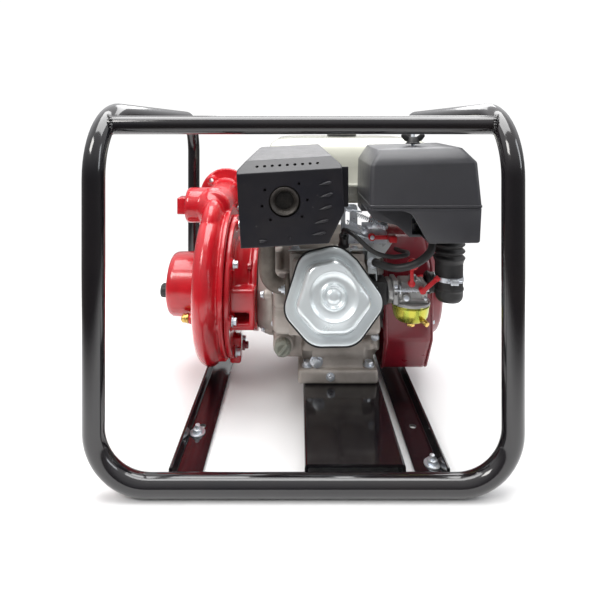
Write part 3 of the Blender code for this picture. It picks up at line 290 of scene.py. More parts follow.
def lathe(profile, origin, axis="X", steps=64, matrix=None, closed=True):
    """Turns (place along the axis, radius) points; closed joins the last to the first."""
    along, across, third = AXES[axis]
    origin = Vector(origin)
    rings = []
    for place, radius in profile:
        ring = []
        for k in range(steps):
            angle = 2 * math.pi * k / steps
            ring.append(
                origin + along * place + (across * math.cos(angle) + third * math.sin(angle)) * radius)
        rings.append(ring)
    if closed:
        rings.append(rings[0])
    bm = skin(rings)[0]
    bmesh.ops.remove_doubles(bm, verts=bm.verts, dist=1e-6)
    return shape(bm, matrix)


def filleted(corners, segments=8):
    """Corners (u, v, radius) with their fillets as arcs."""
    points = []
    count = len(corners)
    for k, (u, v, radius) in enumerate(corners):
        here = Vector((u, v))
        before = Vector(corners[k - 1][:2]) - here
        after = Vector(corners[(k + 1) % count][:2]) - here
        if radius <= 0:
            points.append(here)
            continue
        half = before.angle(after) / 2
        reach = min(radius / math.tan(half), before.length * 0.49, after.length * 0.49)
        real = reach * math.tan(half)
        centre = here + (before.normalized() + after.normalized()).normalized() * (real / math.sin(half))
        first = here + before.normalized() * reach - centre
        last = here + after.normalized() * reach - centre
        sweep = first.angle_signed(last)
        for step in range(segments + 1):
            points.append(centre + Matrix.Rotation(-sweep * step / segments, 2) @ first)
    return points


def plate(outline, low, high, axis="Y", bevel=0.0, segments=3, matrix=None, angle=30):
    """An outline in the plane across the axis, from low to high along it."""
    place = {"X": lambda w, u, v: (w, u, v), "Y": lambda w, u, v: (u, w, v), "Z": lambda w, u,
        v: (u, v, w)}[axis]
    bm = bmesh.new()
    face = bm.faces.new([bm.verts.new(place(low, u, v)) for u, v in outline])
    grown = bmesh.ops.extrude_face_region(bm, geom=[face])
    reach = Vector(place(high - low, 0, 0))
    bmesh.ops.translate(bm, vec=reach,
        verts=[g for g in grown["geom"] if isinstance(g, bmesh.types.BMVert)])
    obj = shape(bm, matrix)
    return soft_edges(obj, bevel, segments, angle) if bevel else obj


def route(points, bends, steps=10):
    """Straight runs joined by arcs of the bends' radii."""
    points = [Vector(p) for p in points]
    line = [points[0]]
    for before, here, after, radius in zip(points, points[1:], points[2:], bends):
        a, b = (before - here).normalized(), (after - here).normalized()
        half = a.angle(b) / 2
        reach = radius / math.tan(half)
        centre = here + (a + b).normalized() * (radius / math.sin(half))
        first, last = here + a * reach - centre, here + b * reach - centre
        for step in range(steps + 1):
            line.append(centre + first.slerp(last, step / steps).normalized() * radius)
    line.append(points[-1])
    return line


def smooth(points, count):
    """Catmull-Rom through the points."""
    points = [Vector(p) for p in points]
    points = [points[0] * 2 - points[1]] + points + [points[-1] * 2 - points[-2]]
    spans = len(points) - 3
    line = []
    for k in range(count + 1):
        t = spans * k / count
        i = min(int(t), spans - 1)
        t -= i
        a, b, c, d = points[i:i + 4]
        line.append(0.5 * (
            2 * b + (c - a) * t + (2 * a - 5 * b + 4 * c - d) * t * t + (3 * b - a - 3 * c + d) * t ** 3))
    return line


def tube(line, radius, resolution=7):
    curve = bpy.data.curves.new("line", "CURVE")
    curve.dimensions = "3D"
    curve.bevel_depth = radius
    curve.bevel_resolution = resolution
    curve.use_fill_caps = True
    spline = curve.splines.new("POLY")
    spline.points.add(len(line) - 1)
    for point, co in zip(spline.points, line):
        point.co = (*co, 1.0)
    return settled(linked("line", curve))


def ball(centre, scale, steps=24):
    bm = bmesh.new()
    bmesh.ops.create_uvsphere(bm, u_segments=steps, v_segments=steps // 2, radius=1.0)
    return shape(bm, Matrix.Translation(Vector(centre)) @ Matrix.Diagonal((*scale, 1.0)))


def boolean(obj, others, operation):
    for other in others:
        change = obj.modifiers.new("change", "BOOLEAN")
        change.operation = operation
        change.object = other
        change.solver = "EXACT"
    new = settled(obj)
    for other in others:
        bpy.data.objects.remove(other)
    return new


def carve(obj, *cutters):
    return boolean(obj, cutters, "DIFFERENCE")


def common(obj, *others):
    return boolean(obj, others, "INTERSECT")


def joined(*shapes):
    merged = bmesh.new()
    for obj in shapes:
        merged.from_mesh(obj.data)
        bpy.data.objects.remove(obj)
    mesh = bpy.data.meshes.new("shape")
    merged.to_mesh(mesh)
    merged.free()
    return linked("shape", mesh)


def casting(obj, voxel, smooth_steps, keep=0.4):
    """Melts overlapping shapes into one casting with soft fillets."""
    remesh = obj.modifiers.new("remesh", "REMESH")
    remesh.mode = "VOXEL"
    remesh.voxel_size = voxel
    relax = obj.modifiers.new("relax", "SMOOTH")
    relax.factor = 0.5
    relax.iterations = smooth_steps
    thin = obj.modifiers.new("thin", "DECIMATE")
    thin.ratio = keep
    return settled(obj)


FLAT_AREA = 6e-5               # square metres: larger faces of a flat piece are shaded flat


def piece(name, look, body, shapes, replaces=(), angle=35, flat=False):
    """A finished piece, riding on a body, made of the given shapes."""
    obj = joined(*shapes)
    obj.name = obj.data.name = name
    obj.data.materials.clear()
    obj.data.materials.append(look)
    obj.data.polygons.foreach_set("material_index", [0] * len(obj.data.polygons))
    obj.data.shade_smooth()
    obj.data.set_sharp_from_angle(angle=math.radians(angle))
    if flat:
        for face in obj.data.polygons:
            face.use_smooth = face.area < FLAT_AREA
    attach(obj, body)
    if replaces:
        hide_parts(*replaces)
    return obj


def hexagon(start, end, across, bevel=0.0006):
    return rod(start, end, across / math.sqrt(3), steps=6, bevel=bevel)


def bolt(foot, direction, across=0.013, height=0.0085, washer=None, stud=0.0):
    """A flanged hexagon bolt head, its washer and, on a stud, the thread's end."""
    foot, way = Vector(foot), Vector(direction).normalized()
    washer = washer or across * 0.78
    shapes = [rod(foot, foot + way * 0.0018, washer, steps=28, bevel=0.0003),
        hexagon(foot + way * 0.0016, foot + way * height, across)]
    if stud:
        shapes.append(rod(foot + way * height * 0.9, foot + way * (height + stud), across * 0.27,
            steps=18, bevel=0.0006))
    return shapes


# ------------------------------------------------------------ roll frame
def weld_bead(line, radius=0.0032):
    """Overlapping drops along a line, as a welder lays them."""
    drops = []
    for k, point in enumerate(line):
        wide = radius * (1.0 + 0.16 * math.sin(k * 2.3))
        drops.append(ball(point, (wide, wide, wide * 0.85), 10))
    return drops


def frame_loop(side):
    y = side * POST_Y
    corners = [(-POST_X, 0.0, FRAME_TOP), (-POST_X, y, FRAME_TOP), (-POST_X, y, TUBE_R),
        (POST_X, y, TUBE_R), (POST_X, y, FRAME_TOP), (POST_X, 0.0, FRAME_TOP)]
    return tube(route(corners, (TOP_BEND_R, LOW_BEND_R, LOW_BEND_R, TOP_BEND_R), 14), TUBE_R, 10)


def roll_frame():
    for name, side in (("front", -1), ("rear", 1)):
        piece(f"{name}_loop", FRAME_PAINT, ROOT, [frame_loop(side)], [f"{name}_frame_tube"],
            50)
        low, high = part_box(f"{name}_cross_bar")
        y, z, r = (low.y + high.y) / 2, (low.z + high.z) / 2, (high.z - low.z) / 2
        bar = rod_x(-POST_X, POST_X, y, z, r, steps=40)
        fillets = []
        for x_side in (-1, 1):
            seam = []
            for k in range(22):
                angle = 2 * math.pi * k / 22
                x = x_side * (POST_X - math.sqrt(max(TUBE_R ** 2 - (r * math.sin(angle)) ** 2, 0)))
                seam.append((x, y + r * math.cos(angle), z + r * math.sin(angle)))
            fillets += weld_bead(seam, 0.0026)
        piece(f"{name}_bar", FRAME_PAINT, ROOT, [bar] + fillets, [f"{name}_cross_bar"], 50)


def rail(name, lip_side):
    low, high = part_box(name)
    thick = 0.004
    lip_x = low.x if lip_side < 0 else high.x - thick
    corners = [(low.x, low.z, 0.001), (high.x, low.z, 0.001)]
    if lip_side < 0:
        corners += [(high.x, low.z + thick, 0.001), (lip_x + thick, low.z + thick, 0.003),
            (lip_x + thick, high.z, 0.0012), (low.x, high.z, 0.0012)]
    else:
        corners += [(high.x, high.z, 0.0012), (lip_x, high.z, 0.0012), (lip_x, low.z + thick, 0.003),
            (low.x, low.z + thick, 0.001)]
    body = plate(filleted(corners, 4), low.y, high.y, "Y")
    middle = (low.x + high.x) / 2
    slots = [rod_z(-0.01, 0.02, middle, y, 0.0055, steps=20) for y in (low.y + 0.118, high.y - 0.118)]
    piece(f"{name}_iron", FRAME_PAINT, ROOT, [carve(body, *slots)], [name], 30)
    beads = []
    for y, way in ((low.y, -1), (high.y, 1)):
        beads += weld_bead(
            [(low.x + 0.003 + 0.0034 * k, y + way * 0.001, low.z + 0.005) for k in range(11)], 0.0024)
    piece(f"{name}_welds", FRAME_PAINT, ROOT, beads)


def frame_bolts():
    shapes = []
    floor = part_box("left_rail")[0].z + 0.004
    for x, y in ((-0.158, -0.173), (-0.158, 0.19), (0.177, -0.239), (0.177, 0.19)):
        shapes += bolt((x, y, floor), (0, 0, 1), 0.013, 0.007, 0.0115, 0.006)
    piece("rail_bolts", ZINC, ROOT, shapes)


def engine_plate():
    low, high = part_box("engine_plate")
    t = 0.004
    corners = [(low.x, low.z, 0.0008), (low.x + t, low.z, 0.0008), (low.x + t, high.z - t, 0.003),
        (high.x - t, high.z - t, 0.003), (high.x - t, low.z, 0.0008), (high.x, low.z, 0.0008),
        (high.x, high.z, 0.0045), (low.x, high.z, 0.0045)]
    body = plate(filleted(corners, 5), low.y, high.y, "Y")
    piece("engine_channel", FRAME_PAINT, ROOT, [body], ["engine_plate"], 30)


# ------------------------------------------------------------ pump
VOLUTE_LEFT, VOLUTE_RIGHT = -0.184, -0.1305
FLANGE_R, RING_R, RING_CENTRE = 0.13, 0.142, 0.113
NECK_LOW, NECK_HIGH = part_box("volute_casing")
NECK_X, NECK_R, SEAT_X = NECK_LOW.x, 0.06, -0.2335
PORT = Vector((-0.166, NECK_HIGH.y, 0.318))       # the discharge, opening to the rear
PORT_BOLT_R = 0.0425
SIDE_BOSS_Z = 0.316
VOLUTE_SWELL = 0.016
RING_BOLT_R = 0.1195
RING_BOLT_ANGLES = [12 + 45 * k for k in range(8)]


def round_about(radius, angle, x=0.0):
    """A point round the shaft, its angle measured from the rear, upwards."""
    turn = math.radians(angle)
    return SHAFT + Vector((x, radius * math.cos(turn), radius * math.sin(turn)))


def swollen(obj):
    """Widens the volute towards its top, where the water leaves."""
    for vertex in obj.data.vertices:
        y, z = vertex.co.y - SHAFT.y, vertex.co.z - SHAFT.z
        radius = max(math.hypot(y, z), 1e-6)
        share = min(max((radius - 0.085) / 0.03, 0.0), 1.0)
        factor = 1 + share * (1 + z / radius) / 2 * VOLUTE_SWELL / radius
        vertex.co.y, vertex.co.z = SHAFT.y + y * factor, SHAFT.z + z * factor
    return obj


def volute():
    section = [(VOLUTE_LEFT + 0.003, 0.0), (VOLUTE_LEFT + 0.003, 0.08), (VOLUTE_LEFT + 0.002, 0.095)]
    for k in range(17):
        angle = math.pi * k / 17
        section.append(
            (-0.1625 - 0.0215 * math.cos(angle), RING_CENTRE + (RING_R - RING_CENTRE) * math.sin(angle)))
    section += [(-0.14, RING_CENTRE + 0.006), (-0.1395, FLANGE_R - 0.006), (-0.1385, FLANGE_R),
        (VOLUTE_RIGHT - 0.001, FLANGE_R), (VOLUTE_RIGHT, FLANGE_R - 0.001), (VOLUTE_RIGHT, 0.0)]
    ring = swollen(lathe(section, SHAFT, "X", 96, closed=False))
    neck = lathe([(NECK_X + 0.001, 0.0), (NECK_X + 0.001, NECK_R - 0.008),
        (NECK_X + 0.004, NECK_R - 0.0035), (NECK_X + 0.01, NECK_R - 0.0008), (-0.186, NECK_R + 0.0005),
        (-0.178, NECK_R + 0.004), (-0.178, 0.0)], SHAFT, "X", 72, closed=False)
    shapes = [ring, neck,
        rod_x(-0.2175, -0.156, SHAFT.y, SIDE_BOSS_Z, 0.0335, steps=48, bevel=0.005),
        rod((PORT.x, SHAFT.y - 0.03, PORT.z - 0.004), (PORT.x, PORT.y - 0.004, PORT.z), 0.033, steps=48,
            bevel=0.008),
        rod((PORT.x, PORT.y - 0.0135, PORT.z), PORT - Vector((0, 0.0006, 0)), 0.0555, steps=64,
            bevel=0.0015),
        rod_x(-0.2015, -0.175, SHAFT.y - 0.058, SHAFT.z - 0.043, 0.0105, steps=32, bevel=0.0015),
        block((-0.19, SHAFT.y - 0.062, SHAFT.z + 0.027), (-0.178, SHAFT.y - 0.04, SHAFT.z + 0.0315),
            0.001),
        ball((-0.1625, SHAFT.y - 0.026, PORT.z - 0.03), (0.0225, 0.06, 0.046), 40),
        ball((PORT.x - 0.004, SHAFT.y - 0.004, PORT.z - 0.004), (0.03, 0.04, 0.036), 40)]
    feet = []
    for angle in (45, 135, 225, 315):
        turn = math.radians(angle)
        feet.append(PORT + Vector((PORT_BOLT_R * math.cos(turn), 0, PORT_BOLT_R * math.sin(turn))))
    for foot in feet:
        shapes.append(rod(foot - Vector((0, 0.022, 0)), foot - Vector((0, 0.012, 0)), 0.0095, steps=24,
            bevel=0.001))
    for angle in RING_BOLT_ANGLES:
        shapes.append(rod(round_about(0.1245, angle, -0.148), round_about(0.1245, angle, -0.1312), 0.0105,
            steps=24, bevel=0.001))
    body = casting(joined(*shapes), 0.0019, 5, 0.3)
    cutters = [rod_x(NECK_X - 0.01, SEAT_X, SHAFT.y, SHAFT.z, 0.033, steps=64),
        rod_x(SEAT_X - 0.001, -0.17, SHAFT.y, SHAFT.z, 0.047, steps=64),
        rod_x(-0.19, VOLUTE_RIGHT + 0.01, SHAFT.y, SHAFT.z, 0.1075, steps=64),
        rod_x(-0.23, -0.2, SHAFT.y, SIDE_BOSS_Z, 0.0245, steps=40),
        rod((PORT.x, SHAFT.y, PORT.z), PORT + Vector((0, 0.01, 0)), 0.0255, steps=56)]
    cutters[2].data.transform(Matrix.Translation((0.0125, 0, 0)))
    for foot in feet:
        cutters.append(rod(foot - Vector((0, 0.03, 0)), foot + Vector((0, 0.01, 0)), 0.0048, steps=20))
    piece("volute", RED_PAINT, ROOT, [carve(body, *cutters)], ["volute_casing"], 42)
    y, z = SHAFT.y - 0.058, SHAFT.z - 0.043
    brass = [hexagon((-0.213, y, z), (-0.205, y, z), 0.015, 0.0008),
        rod_x(-0.2052, -0.2023, y, z, 0.0092, steps=28, bevel=0.0004),
        rod_x(-0.215, -0.2125, y, z, 0.0052, 0.0045, 24),
        rod_x(-0.203, -0.192, y, z, 0.006)]
    piece("brass_plug", BRASS, ROOT, brass, ["priming_plug"], 40)
    square = [block((-0.2345, SHAFT.y - 0.0155, SIDE_BOSS_Z - 0.0155),
            (-0.217, SHAFT.y + 0.0155, SIDE_BOSS_Z + 0.0155), 0.0022, 4),
        rod_x(-0.2188, -0.203, SHAFT.y, SIDE_BOSS_Z, 0.024, steps=48, bevel=0.0015)]
    piece("square_plug", RED_PAINT, ROOT, square, ["discharge_plug"], 40)


def suction_parts():
    knob_z, knurl_r = SHAFT.z - 0.013, 0.0122
    cap = lathe([(NECK_X - 0.0006, 0.0), (NECK_X - 0.0006, 0.03), (NECK_X - 0.0002, 0.0318),
        (NECK_X + 0.001, 0.0325), (SEAT_X - 0.0012, 0.0322), (SEAT_X - 0.001, 0.0)], SHAFT, "X", 64,
        closed=False)
    knob = [rod_x(-0.2675, NECK_X, SHAFT.y, knob_z, 0.0125, steps=40, bevel=0.0022)]
    for k in range(14):
        angle = 2 * math.pi * k / 14
        y, z = SHAFT.y + knurl_r * math.cos(angle), knob_z + knurl_r * math.sin(angle)
        knob.append(rod_x(-0.2645, NECK_X - 0.001, y, z, 0.0011, steps=10))
    piece("suction_cap", RUBBER, "inlet_plug", [cap] + knob, ["suction_plug"], 40)
    hinge_z = SHAFT.z + 0.0405
    flap = [rod_x(SEAT_X + 0.0007, SEAT_X + 0.003, SHAFT.y, SHAFT.z, 0.0378, steps=56, bevel=0.0006),
        rod_x(SEAT_X + 0.0028, SEAT_X + 0.0048, SHAFT.y, SHAFT.z, 0.024, steps=48, bevel=0.0006),
        block((SEAT_X + 0.0007, SHAFT.y - 0.01, SHAFT.z + 0.03),
            (SEAT_X + 0.0062, SHAFT.y + 0.01, hinge_z), 0.0008)]
    piece("flap_disc", RUBBER, "flap", flap, ["check_valve_flap"], 40)
    screws = []
    for y in (-0.007, 0.007):
        foot = Vector((SEAT_X + 0.0061, SHAFT.y + y, SHAFT.z + 0.034))
        screws.append(rod(foot, foot + Vector((0.0012, 0, 0)), 0.0022, steps=16, bevel=0.0003))
    piece("flap_screws", ZINC, "flap", screws)


def adapter():
    flange, face = -0.1302, -0.0789
    bell = lathe([(-0.1368, 0.0245), (-0.1368, 0.1068), (flange, 0.1068), (flange, FLANGE_R),
        (-0.1218, FLANGE_R), (-0.1208, FLANGE_R - 0.001), (-0.1208, 0.098), (-0.1195, 0.09),
        (-0.115, 0.0865), (-0.106, 0.0835), (-0.096, 0.077), (-0.092, 0.0755), (-0.09, 0.0775),
        (-0.089, 0.0838), (face, 0.0838), (face, 0.0625), (-0.114, 0.062), (-0.118, 0.0245)], SHAFT, "X",
        96)
    shapes = [bell,
        block((-0.126, -0.0855, SHAFT.z - 0.016), (-0.085, -0.03, SHAFT.z + 0.0235), 0.0035, 3),
        block((-0.126, -0.085, SHAFT.z - 0.046), (-0.082, -0.025, SHAFT.z - 0.034), 0.003, 3),
        block((-0.09, -0.0855, SHAFT.z - 0.046), (-0.08, -0.025, SHAFT.z + 0.0235), 0.003, 3),
        block((-0.126, 0.06, SHAFT.z - 0.03), (-0.085, 0.115, SHAFT.z + 0.01), 0.0035, 3)]
    for angle in RING_BOLT_ANGLES:
        shapes.append(rod(round_about(RING_BOLT_R, angle, -0.129),
            round_about(RING_BOLT_R, angle, -0.117), 0.01, steps=24, bevel=0.001))
    body = casting(joined(*shapes), 0.0019, 4, 0.32)
    window = block((-0.117, -0.1, SHAFT.z - 0.0335), (-0.0935, SHAFT.y - 0.015, SHAFT.z - 0.0165), 0.002)
    below = block((-0.119, -0.1, SHAFT.z - 0.11), (-0.0898, 0.12, SHAFT.z - 0.0465), 0.004)
    boss = block((-0.1285, SHAFT.y - 0.062, 0.0425), (-0.1085, SHAFT.y - 0.038, 0.09), 0.0045, 4)
    bore = rod_x(-0.15, -0.06, SHAFT.y, SHAFT.z, 0.0245, steps=40)
    seat = rod_x(-0.114, -0.06, SHAFT.y, SHAFT.z, 0.062, steps=56)
    piece("adapter_casting", RED_PAINT, ROOT, [carve(body, window, bore, seat, below), boss],
        ["pump_adapter"], 42)
    bolts = []
    for angle in RING_BOLT_ANGLES:
        foot = round_about(RING_BOLT_R, angle, -0.1168)
        bolts += bolt(foot, (1, 0, 0), 0.012, 0.0078, 0.0088)
    piece("casing_bolts", ZINC, ROOT, bolts, angle=40)
    red_bolts = []
    for angle in (40, 140, 220, 320):
        foot = round_about(0.0785, angle, -0.0893)
        red_bolts += bolt(foot, (-1, 0, 0), 0.0115, 0.0075, 0.0085)
    piece("adapter_bolts", RED_PAINT, ROOT, red_bolts, angle=40)
    y = SHAFT.y - 0.051
    drain = [hexagon((-0.103, y, 0.072), (-0.0962, y, 0.072), 0.012, 0.001),
        rod_x(-0.1068, -0.102, y, 0.072, 0.009, steps=28, bevel=0.0008)]
    piece("pump_drain_plug", HOUSING_PAINT, ROOT, drain, ["drain_plug"], 40)


# ------------------------------------------------------------ engine block
CASE_LOW, CASE_HIGH = Vector((-0.0497, -0.06, 0.058)), Vector((0.1352, 0.118, 0.262))
FOOT_LOW, FOOT_HIGH = Vector((-0.007, -0.087, 0.0303)), Vector((0.129, 0.138, 0.055))
REAR_BOSSES = ((-0.032, 0.24), (0.118, 0.24), (-0.032, 0.084), (0.118, 0.084))
LID_X, LID_Z = 0.043, 0.185    # the round lid on the rear of the crankcase
LID_BOLT_R = 0.0235
MOUNT_X, MOUNT_Y = (0.0095, 0.1145), (-0.072, 0.123)
MOUNT_BOLT_Z = 0.0555
SIDE_BOLT_R = 0.085
OIL = Vector((-0.032, -0.096, 0.099))
DECK_S, HEAD_FAR = 0.142, 0.189
COVER_X = BORE_X + 0.003
COVER_CORNERS = [(-0.045, 0.06, 0.03), (0.014, 0.073, 0.036), (0.041, 0.05, 0.026),
    (0.084, -0.012, 0.024), (0.036, -0.072, 0.032), (-0.029, -0.073, 0.034), (-0.073, -0.026, 0.03)]


def tilted_block(x, s, up, bevel=0.0, segments=3):
    """A block squared to the cylinder: along the crank, along the cylinder, across it."""
    return block((x[0], -s[1], up[0]), (x[1], -s[0], up[1]), bevel, segments, CYLINDER)


def crankcase():
    shapes = [block(CASE_LOW, CASE_HIGH, 0.018, 4),
        block((0.002, -0.078, 0.04), (0.124, 0.106, 0.102), 0.01, 4),
        rod_x(0.0, 0.108, -0.068, 0.08, 0.014, steps=32, bevel=0.003),
        block(FOOT_LOW, FOOT_HIGH, 0.0045, 3),
        block((-0.049, -0.083, 0.08), (-0.014, -0.03, 0.118), 0.006, 4),
        rod_y(-0.0895, -0.04, OIL.x, OIL.z, 0.0172, steps=36, bevel=0.0015),
        rod(along_cylinder(0.03), along_cylinder(DECK_S - 0.002), 0.056, steps=56),
        tilted_block((BORE_X - 0.0575, BORE_X + 0.0575), (DECK_S - 0.0075, DECK_S - 0.0004),
            (-0.0575, 0.0575), 0.006),
        tilted_block((-0.049, 0.056), (0.06, 0.128), (-0.07, -0.018), 0.012, 4),
        tilted_block((-0.048, -0.02), (0.05, 0.134), (-0.03, 0.03), 0.009, 4),
        tilted_block((0.06, 0.13), (0.055, 0.12), (-0.072, -0.02), 0.01, 4),
        rod_z(0.19, 0.252, -0.045, -0.06, 0.0115, steps=32, bevel=0.003),
        rod_z(0.08, 0.13, 0.126, -0.064, 0.009, steps=28, bevel=0.002)]
    back = CASE_HIGH.y
    for x in (-0.03, 0.002, 0.043, 0.084, 0.116):
        shapes.append(block((x, back - 0.006, CASE_LOW.z + 0.014),
            (x + 0.006, back + 0.005, CASE_HIGH.z - 0.018), 0.002, 2))
    shapes.append(block((-0.036, back - 0.006, 0.108), (0.122, back + 0.004, 0.114), 0.002, 2))
    for x, z in REAR_BOSSES:
        shapes.append(rod_y(back - 0.006, back + 0.007, x, z, 0.0105, steps=32, bevel=0.002))
    shapes.append(rod_y(back - 0.006, back + 0.0065, LID_X, LID_Z, 0.033, steps=56, bevel=0.003))
    body = casting(joined(*shapes), 0.0019, 4, 0.3)
    cutters = [rod(along_cylinder(0.0), along_cylinder(DECK_S + 0.01), 0.0442, steps=56),
        rod_x(-0.06, 0.124, SHAFT.y, SHAFT.z, 0.066, steps=48),
        rod_x(-0.06, 0.11, SHAFT.y, SHAFT.z - 0.056, 0.041, steps=40),
        rod_x(0.1, 0.14, SHAFT.y, SHAFT.z, 0.0177, steps=32),
        rod_y(-0.095, -0.05, OIL.x, OIL.z, 0.01, steps=28)]
    for x in MOUNT_X:
        for y in MOUNT_Y:
            cutters.append(rod_z(0.02, 0.07, x, y, 0.0053, steps=20))
            cutters.append(rod_z(0.0553, 0.085, x, y, 0.0125, steps=32))
    piece("block_casting", CAST, ROOT, [carve(body, *cutters)], ["crankcase"], 42)
    fins = []
    for s in (0.088, 0.0985, 0.109, 0.1195):
        fins.append(
            tilted_block((BORE_X - 0.06, BORE_X + 0.06), (s, s + 0.0026), (-0.06, 0.06), 0.0011, 2))
        fins[-1] = carve(fins[-1], rod(along_cylinder(s - 0.01), along_cylinder(s + 0.02), 0.05))
    piece("barrel_fins", CAST, ROOT, fins, angle=40)


def block_fittings():
    drop = Matrix.Translation(OIL) @ Matrix.Rotation(math.radians(-50), 4, "Y")
    cap = lathe([(0.0057, 0.0), (0.0057, 0.0128), (0.005, 0.0136), (-0.0085, 0.0136), (-0.0105, 0.0128),
        (-0.0118, 0.011), (-0.0122, 0.0085), (-0.011, 0.007), (-0.011, 0.0)], (0, 0, 0), "Y", 48,
        Matrix.Translation(OIL), closed=False)
    wing = [(-0.0122, 0.0006, 0.0005), (-0.0128, -0.0048, 0.002), (-0.006, -0.004, 0.004),
        (0.006, -0.004, 0.004), (0.0128, -0.0048, 0.002), (0.0122, 0.0006, 0.0005)]
    rib = plate(filleted([(u, v - 0.0105, r) for u, v, r in wing], 4), -0.0024, 0.0024, "Z", 0.0009, 2,
        drop)
    ticks = []
    for k in range(16):
        turn = drop @ Matrix.Rotation(2 * math.pi * k / 16, 4, "Y")
        ticks.append(block((0.0126, -0.0084, -0.0009), (0.0142, 0.0046, 0.0009), 0.0004, 2, turn))
    stem = rod_y(-0.0905, -0.062, OIL.x, OIL.z, 0.0095)
    piece("oil_cap_moulding", CAP_PLASTIC, "oil_cap", [cap, rib, stem] + ticks, ["oil_filler_cap"],
        40)
    drain = bolt((0.0245, -0.0785, 0.066), (0, -1, 0), 0.015, 0.0075, 0.0112)
    drain.append(rod_y(-0.079, -0.062, 0.0245, 0.066, 0.006))
    piece("drain_bolt", ZINC, ROOT, drain, ["oil_drain_bolt"], 40)
    for number, x in enumerate(MOUNT_X, 1):
        y = MOUNT_Y[0]
        parts = bolt((x, y, MOUNT_BOLT_Z), (0, 0, 1), 0.013, 0.0083, 0.0098)
        parts.append(rod_z(0.0216, 0.056, x, y, 0.0049))
        piece(f"engine_bolt_{number}", ZINC, ROOT, parts, [f"mount_bolt_{number}"], 40)
    rear = []
    for x in MOUNT_X:
        rear += bolt((x, MOUNT_Y[1], MOUNT_BOLT_Z), (0, 0, 1), 0.013, 0.0083, 0.0098)
    front = bolt((0.048, FOOT_LOW.y, 0.044), (0, -1, 0), 0.0105, 0.0062, 0.0075, 0.003)
    small = []
    for x, y, z in ((-0.047, -0.06, 0.123), (0.1255, -0.073, 0.105), (-0.045, -0.0715, 0.183),
            (-0.012, -0.0615, 0.127)):
        small += bolt((x, y, z), (0, -1, 0), 0.0098, 0.0055, 0.0068)
    for x, z in REAR_BOSSES:
        rear += bolt((x, CASE_HIGH.y + 0.0066, z), (0, 1, 0), 0.0098, 0.0055, 0.0068)
    piece("block_bolts", ZINC, ROOT, rear + front + small, angle=40)
    back = CASE_HIGH.y + 0.006
    lid = lathe([(back, 0.0), (back + 0.004, 0.0), (back + 0.004, 0.017), (back + 0.002, 0.02),
        (back + 0.002, 0.027), (back + 0.0012, 0.028), (back, 0.028)], (LID_X, 0, LID_Z), "Y", 64,
        closed=False)
    piece("rear_lid", COVER, ROOT, [lid], angle=40)
    heads = []
    for k in range(4):
        angle = math.radians(45 + 90 * k)
        place = (LID_X + LID_BOLT_R * math.cos(angle), back + 0.0018,
            LID_Z + LID_BOLT_R * math.sin(angle))
        heads += bolt(place, (0, 1, 0), 0.006, 0.0035, 0.0042)
    piece("rear_lid_bolts", ZINC, ROOT, heads, angle=40)
    side = lathe([(-0.078, 0.021), (-0.078, 0.062), (-0.0785, 0.0625), (-0.0785, 0.0765),
        (-0.077, 0.0785), (-0.07, 0.0845), (-0.063, 0.0885), (-0.058, 0.0905), (-0.0505, 0.0908),
        (-0.05, 0.09), (-0.05, 0.07), (-0.066, 0.062), (-0.068, 0.024), (-0.056, 0.024), (-0.056, 0.021)],
        SHAFT, "X", 96)
    lugs, heads = [], []
    for k in range(7):
        angle = 20 + 360 * k / 7
        lugs.append(rod(round_about(SIDE_BOLT_R, angle, -0.066), round_about(SIDE_BOLT_R, angle, -0.0505),
            0.0085, steps=28, bevel=0.0015))
        heads += bolt(round_about(SIDE_BOLT_R, angle, -0.0662), (-1, 0, 0), 0.0098, 0.006, 0.007)
    case_side = casting(joined(side, *lugs), 0.0018, 3, 0.35)
    piece("side_casting", CAST, ROOT, [case_side], ["side_cover"], 42)
    piece("side_cover_bolts", ZINC, ROOT, heads, angle=40)


def cylinder_head():
    near, far = DECK_S + 0.0003, HEAD_FAR
    core = [tilted_block((BORE_X - 0.048, BORE_X + 0.059), (near + 0.001, far - 0.001), (-0.048, 0.048),
            0.006, 4),
        tilted_block((BORE_X - 0.059, BORE_X - 0.02), (near + 0.002, far - 0.01), (-0.03, 0.027), 0.008,
            4),
        tilted_block((BORE_X - 0.056, BORE_X + 0.01), (far - 0.03, far - 0.001), (-0.02, 0.056), 0.01, 4)]
    shape_of_rim = [(COVER_X + u * 1.035, v * 1.035, r) for u, v, r in COVER_CORNERS]
    core.append(plate(filleted(shape_of_rim, 8), -far, -far + 0.014, "Y", 0.002, 2, CYLINDER))
    body = casting(joined(*core), 0.0018, 4, 0.32)
    chamber = rod(along_cylinder(DECK_S - 0.004), along_cylinder(DECK_S + 0.004), 0.04, steps=40)
    fins = []
    for s in (near, 0.1505, 0.159, 0.1675, 0.176):
        fins.append(
            tilted_block((BORE_X - 0.06, BORE_X + 0.058), (s, s + 0.0028), (-0.06, 0.06), 0.0012, 2))
    piece("head_casting", CAST, ROOT, [carve(body, chamber)], ["cylinder_head"], 42)
    piece("head_fins", CAST, ROOT, fins, angle=40)


# ------------------------------------------------------------ rocker cover
COVER_NEAR = 0.1905
OUTLINE_HALF = 0.066          # an inset is turned into a share of this


def even_outline(corners, count):
    """The filleted outline with its points evenly spaced."""
    points = filleted(corners, 10)
    lengths = [0.0]
    for a, b in zip(points, points[1:] + points[:1]):
        lengths.append(lengths[-1] + (b - a).length)
    line, k = [], 0
    for step in range(count):
        want = lengths[-1] * step / count
        while lengths[k + 1] < want:
            k += 1
        share = (want - lengths[k]) / max(lengths[k + 1] - lengths[k], 1e-9)
        line.append(points[k].lerp(points[(k + 1) % len(points)], share))
    return line


COVER_LINE = even_outline(COVER_CORNERS, 144)


def cover_ring(inset, s):
    share = 1 - inset / OUTLINE_HALF
    return [CYLINDER @ Vector((COVER_X + p.x * share, -s, p.y * share)) for p in COVER_LINE]


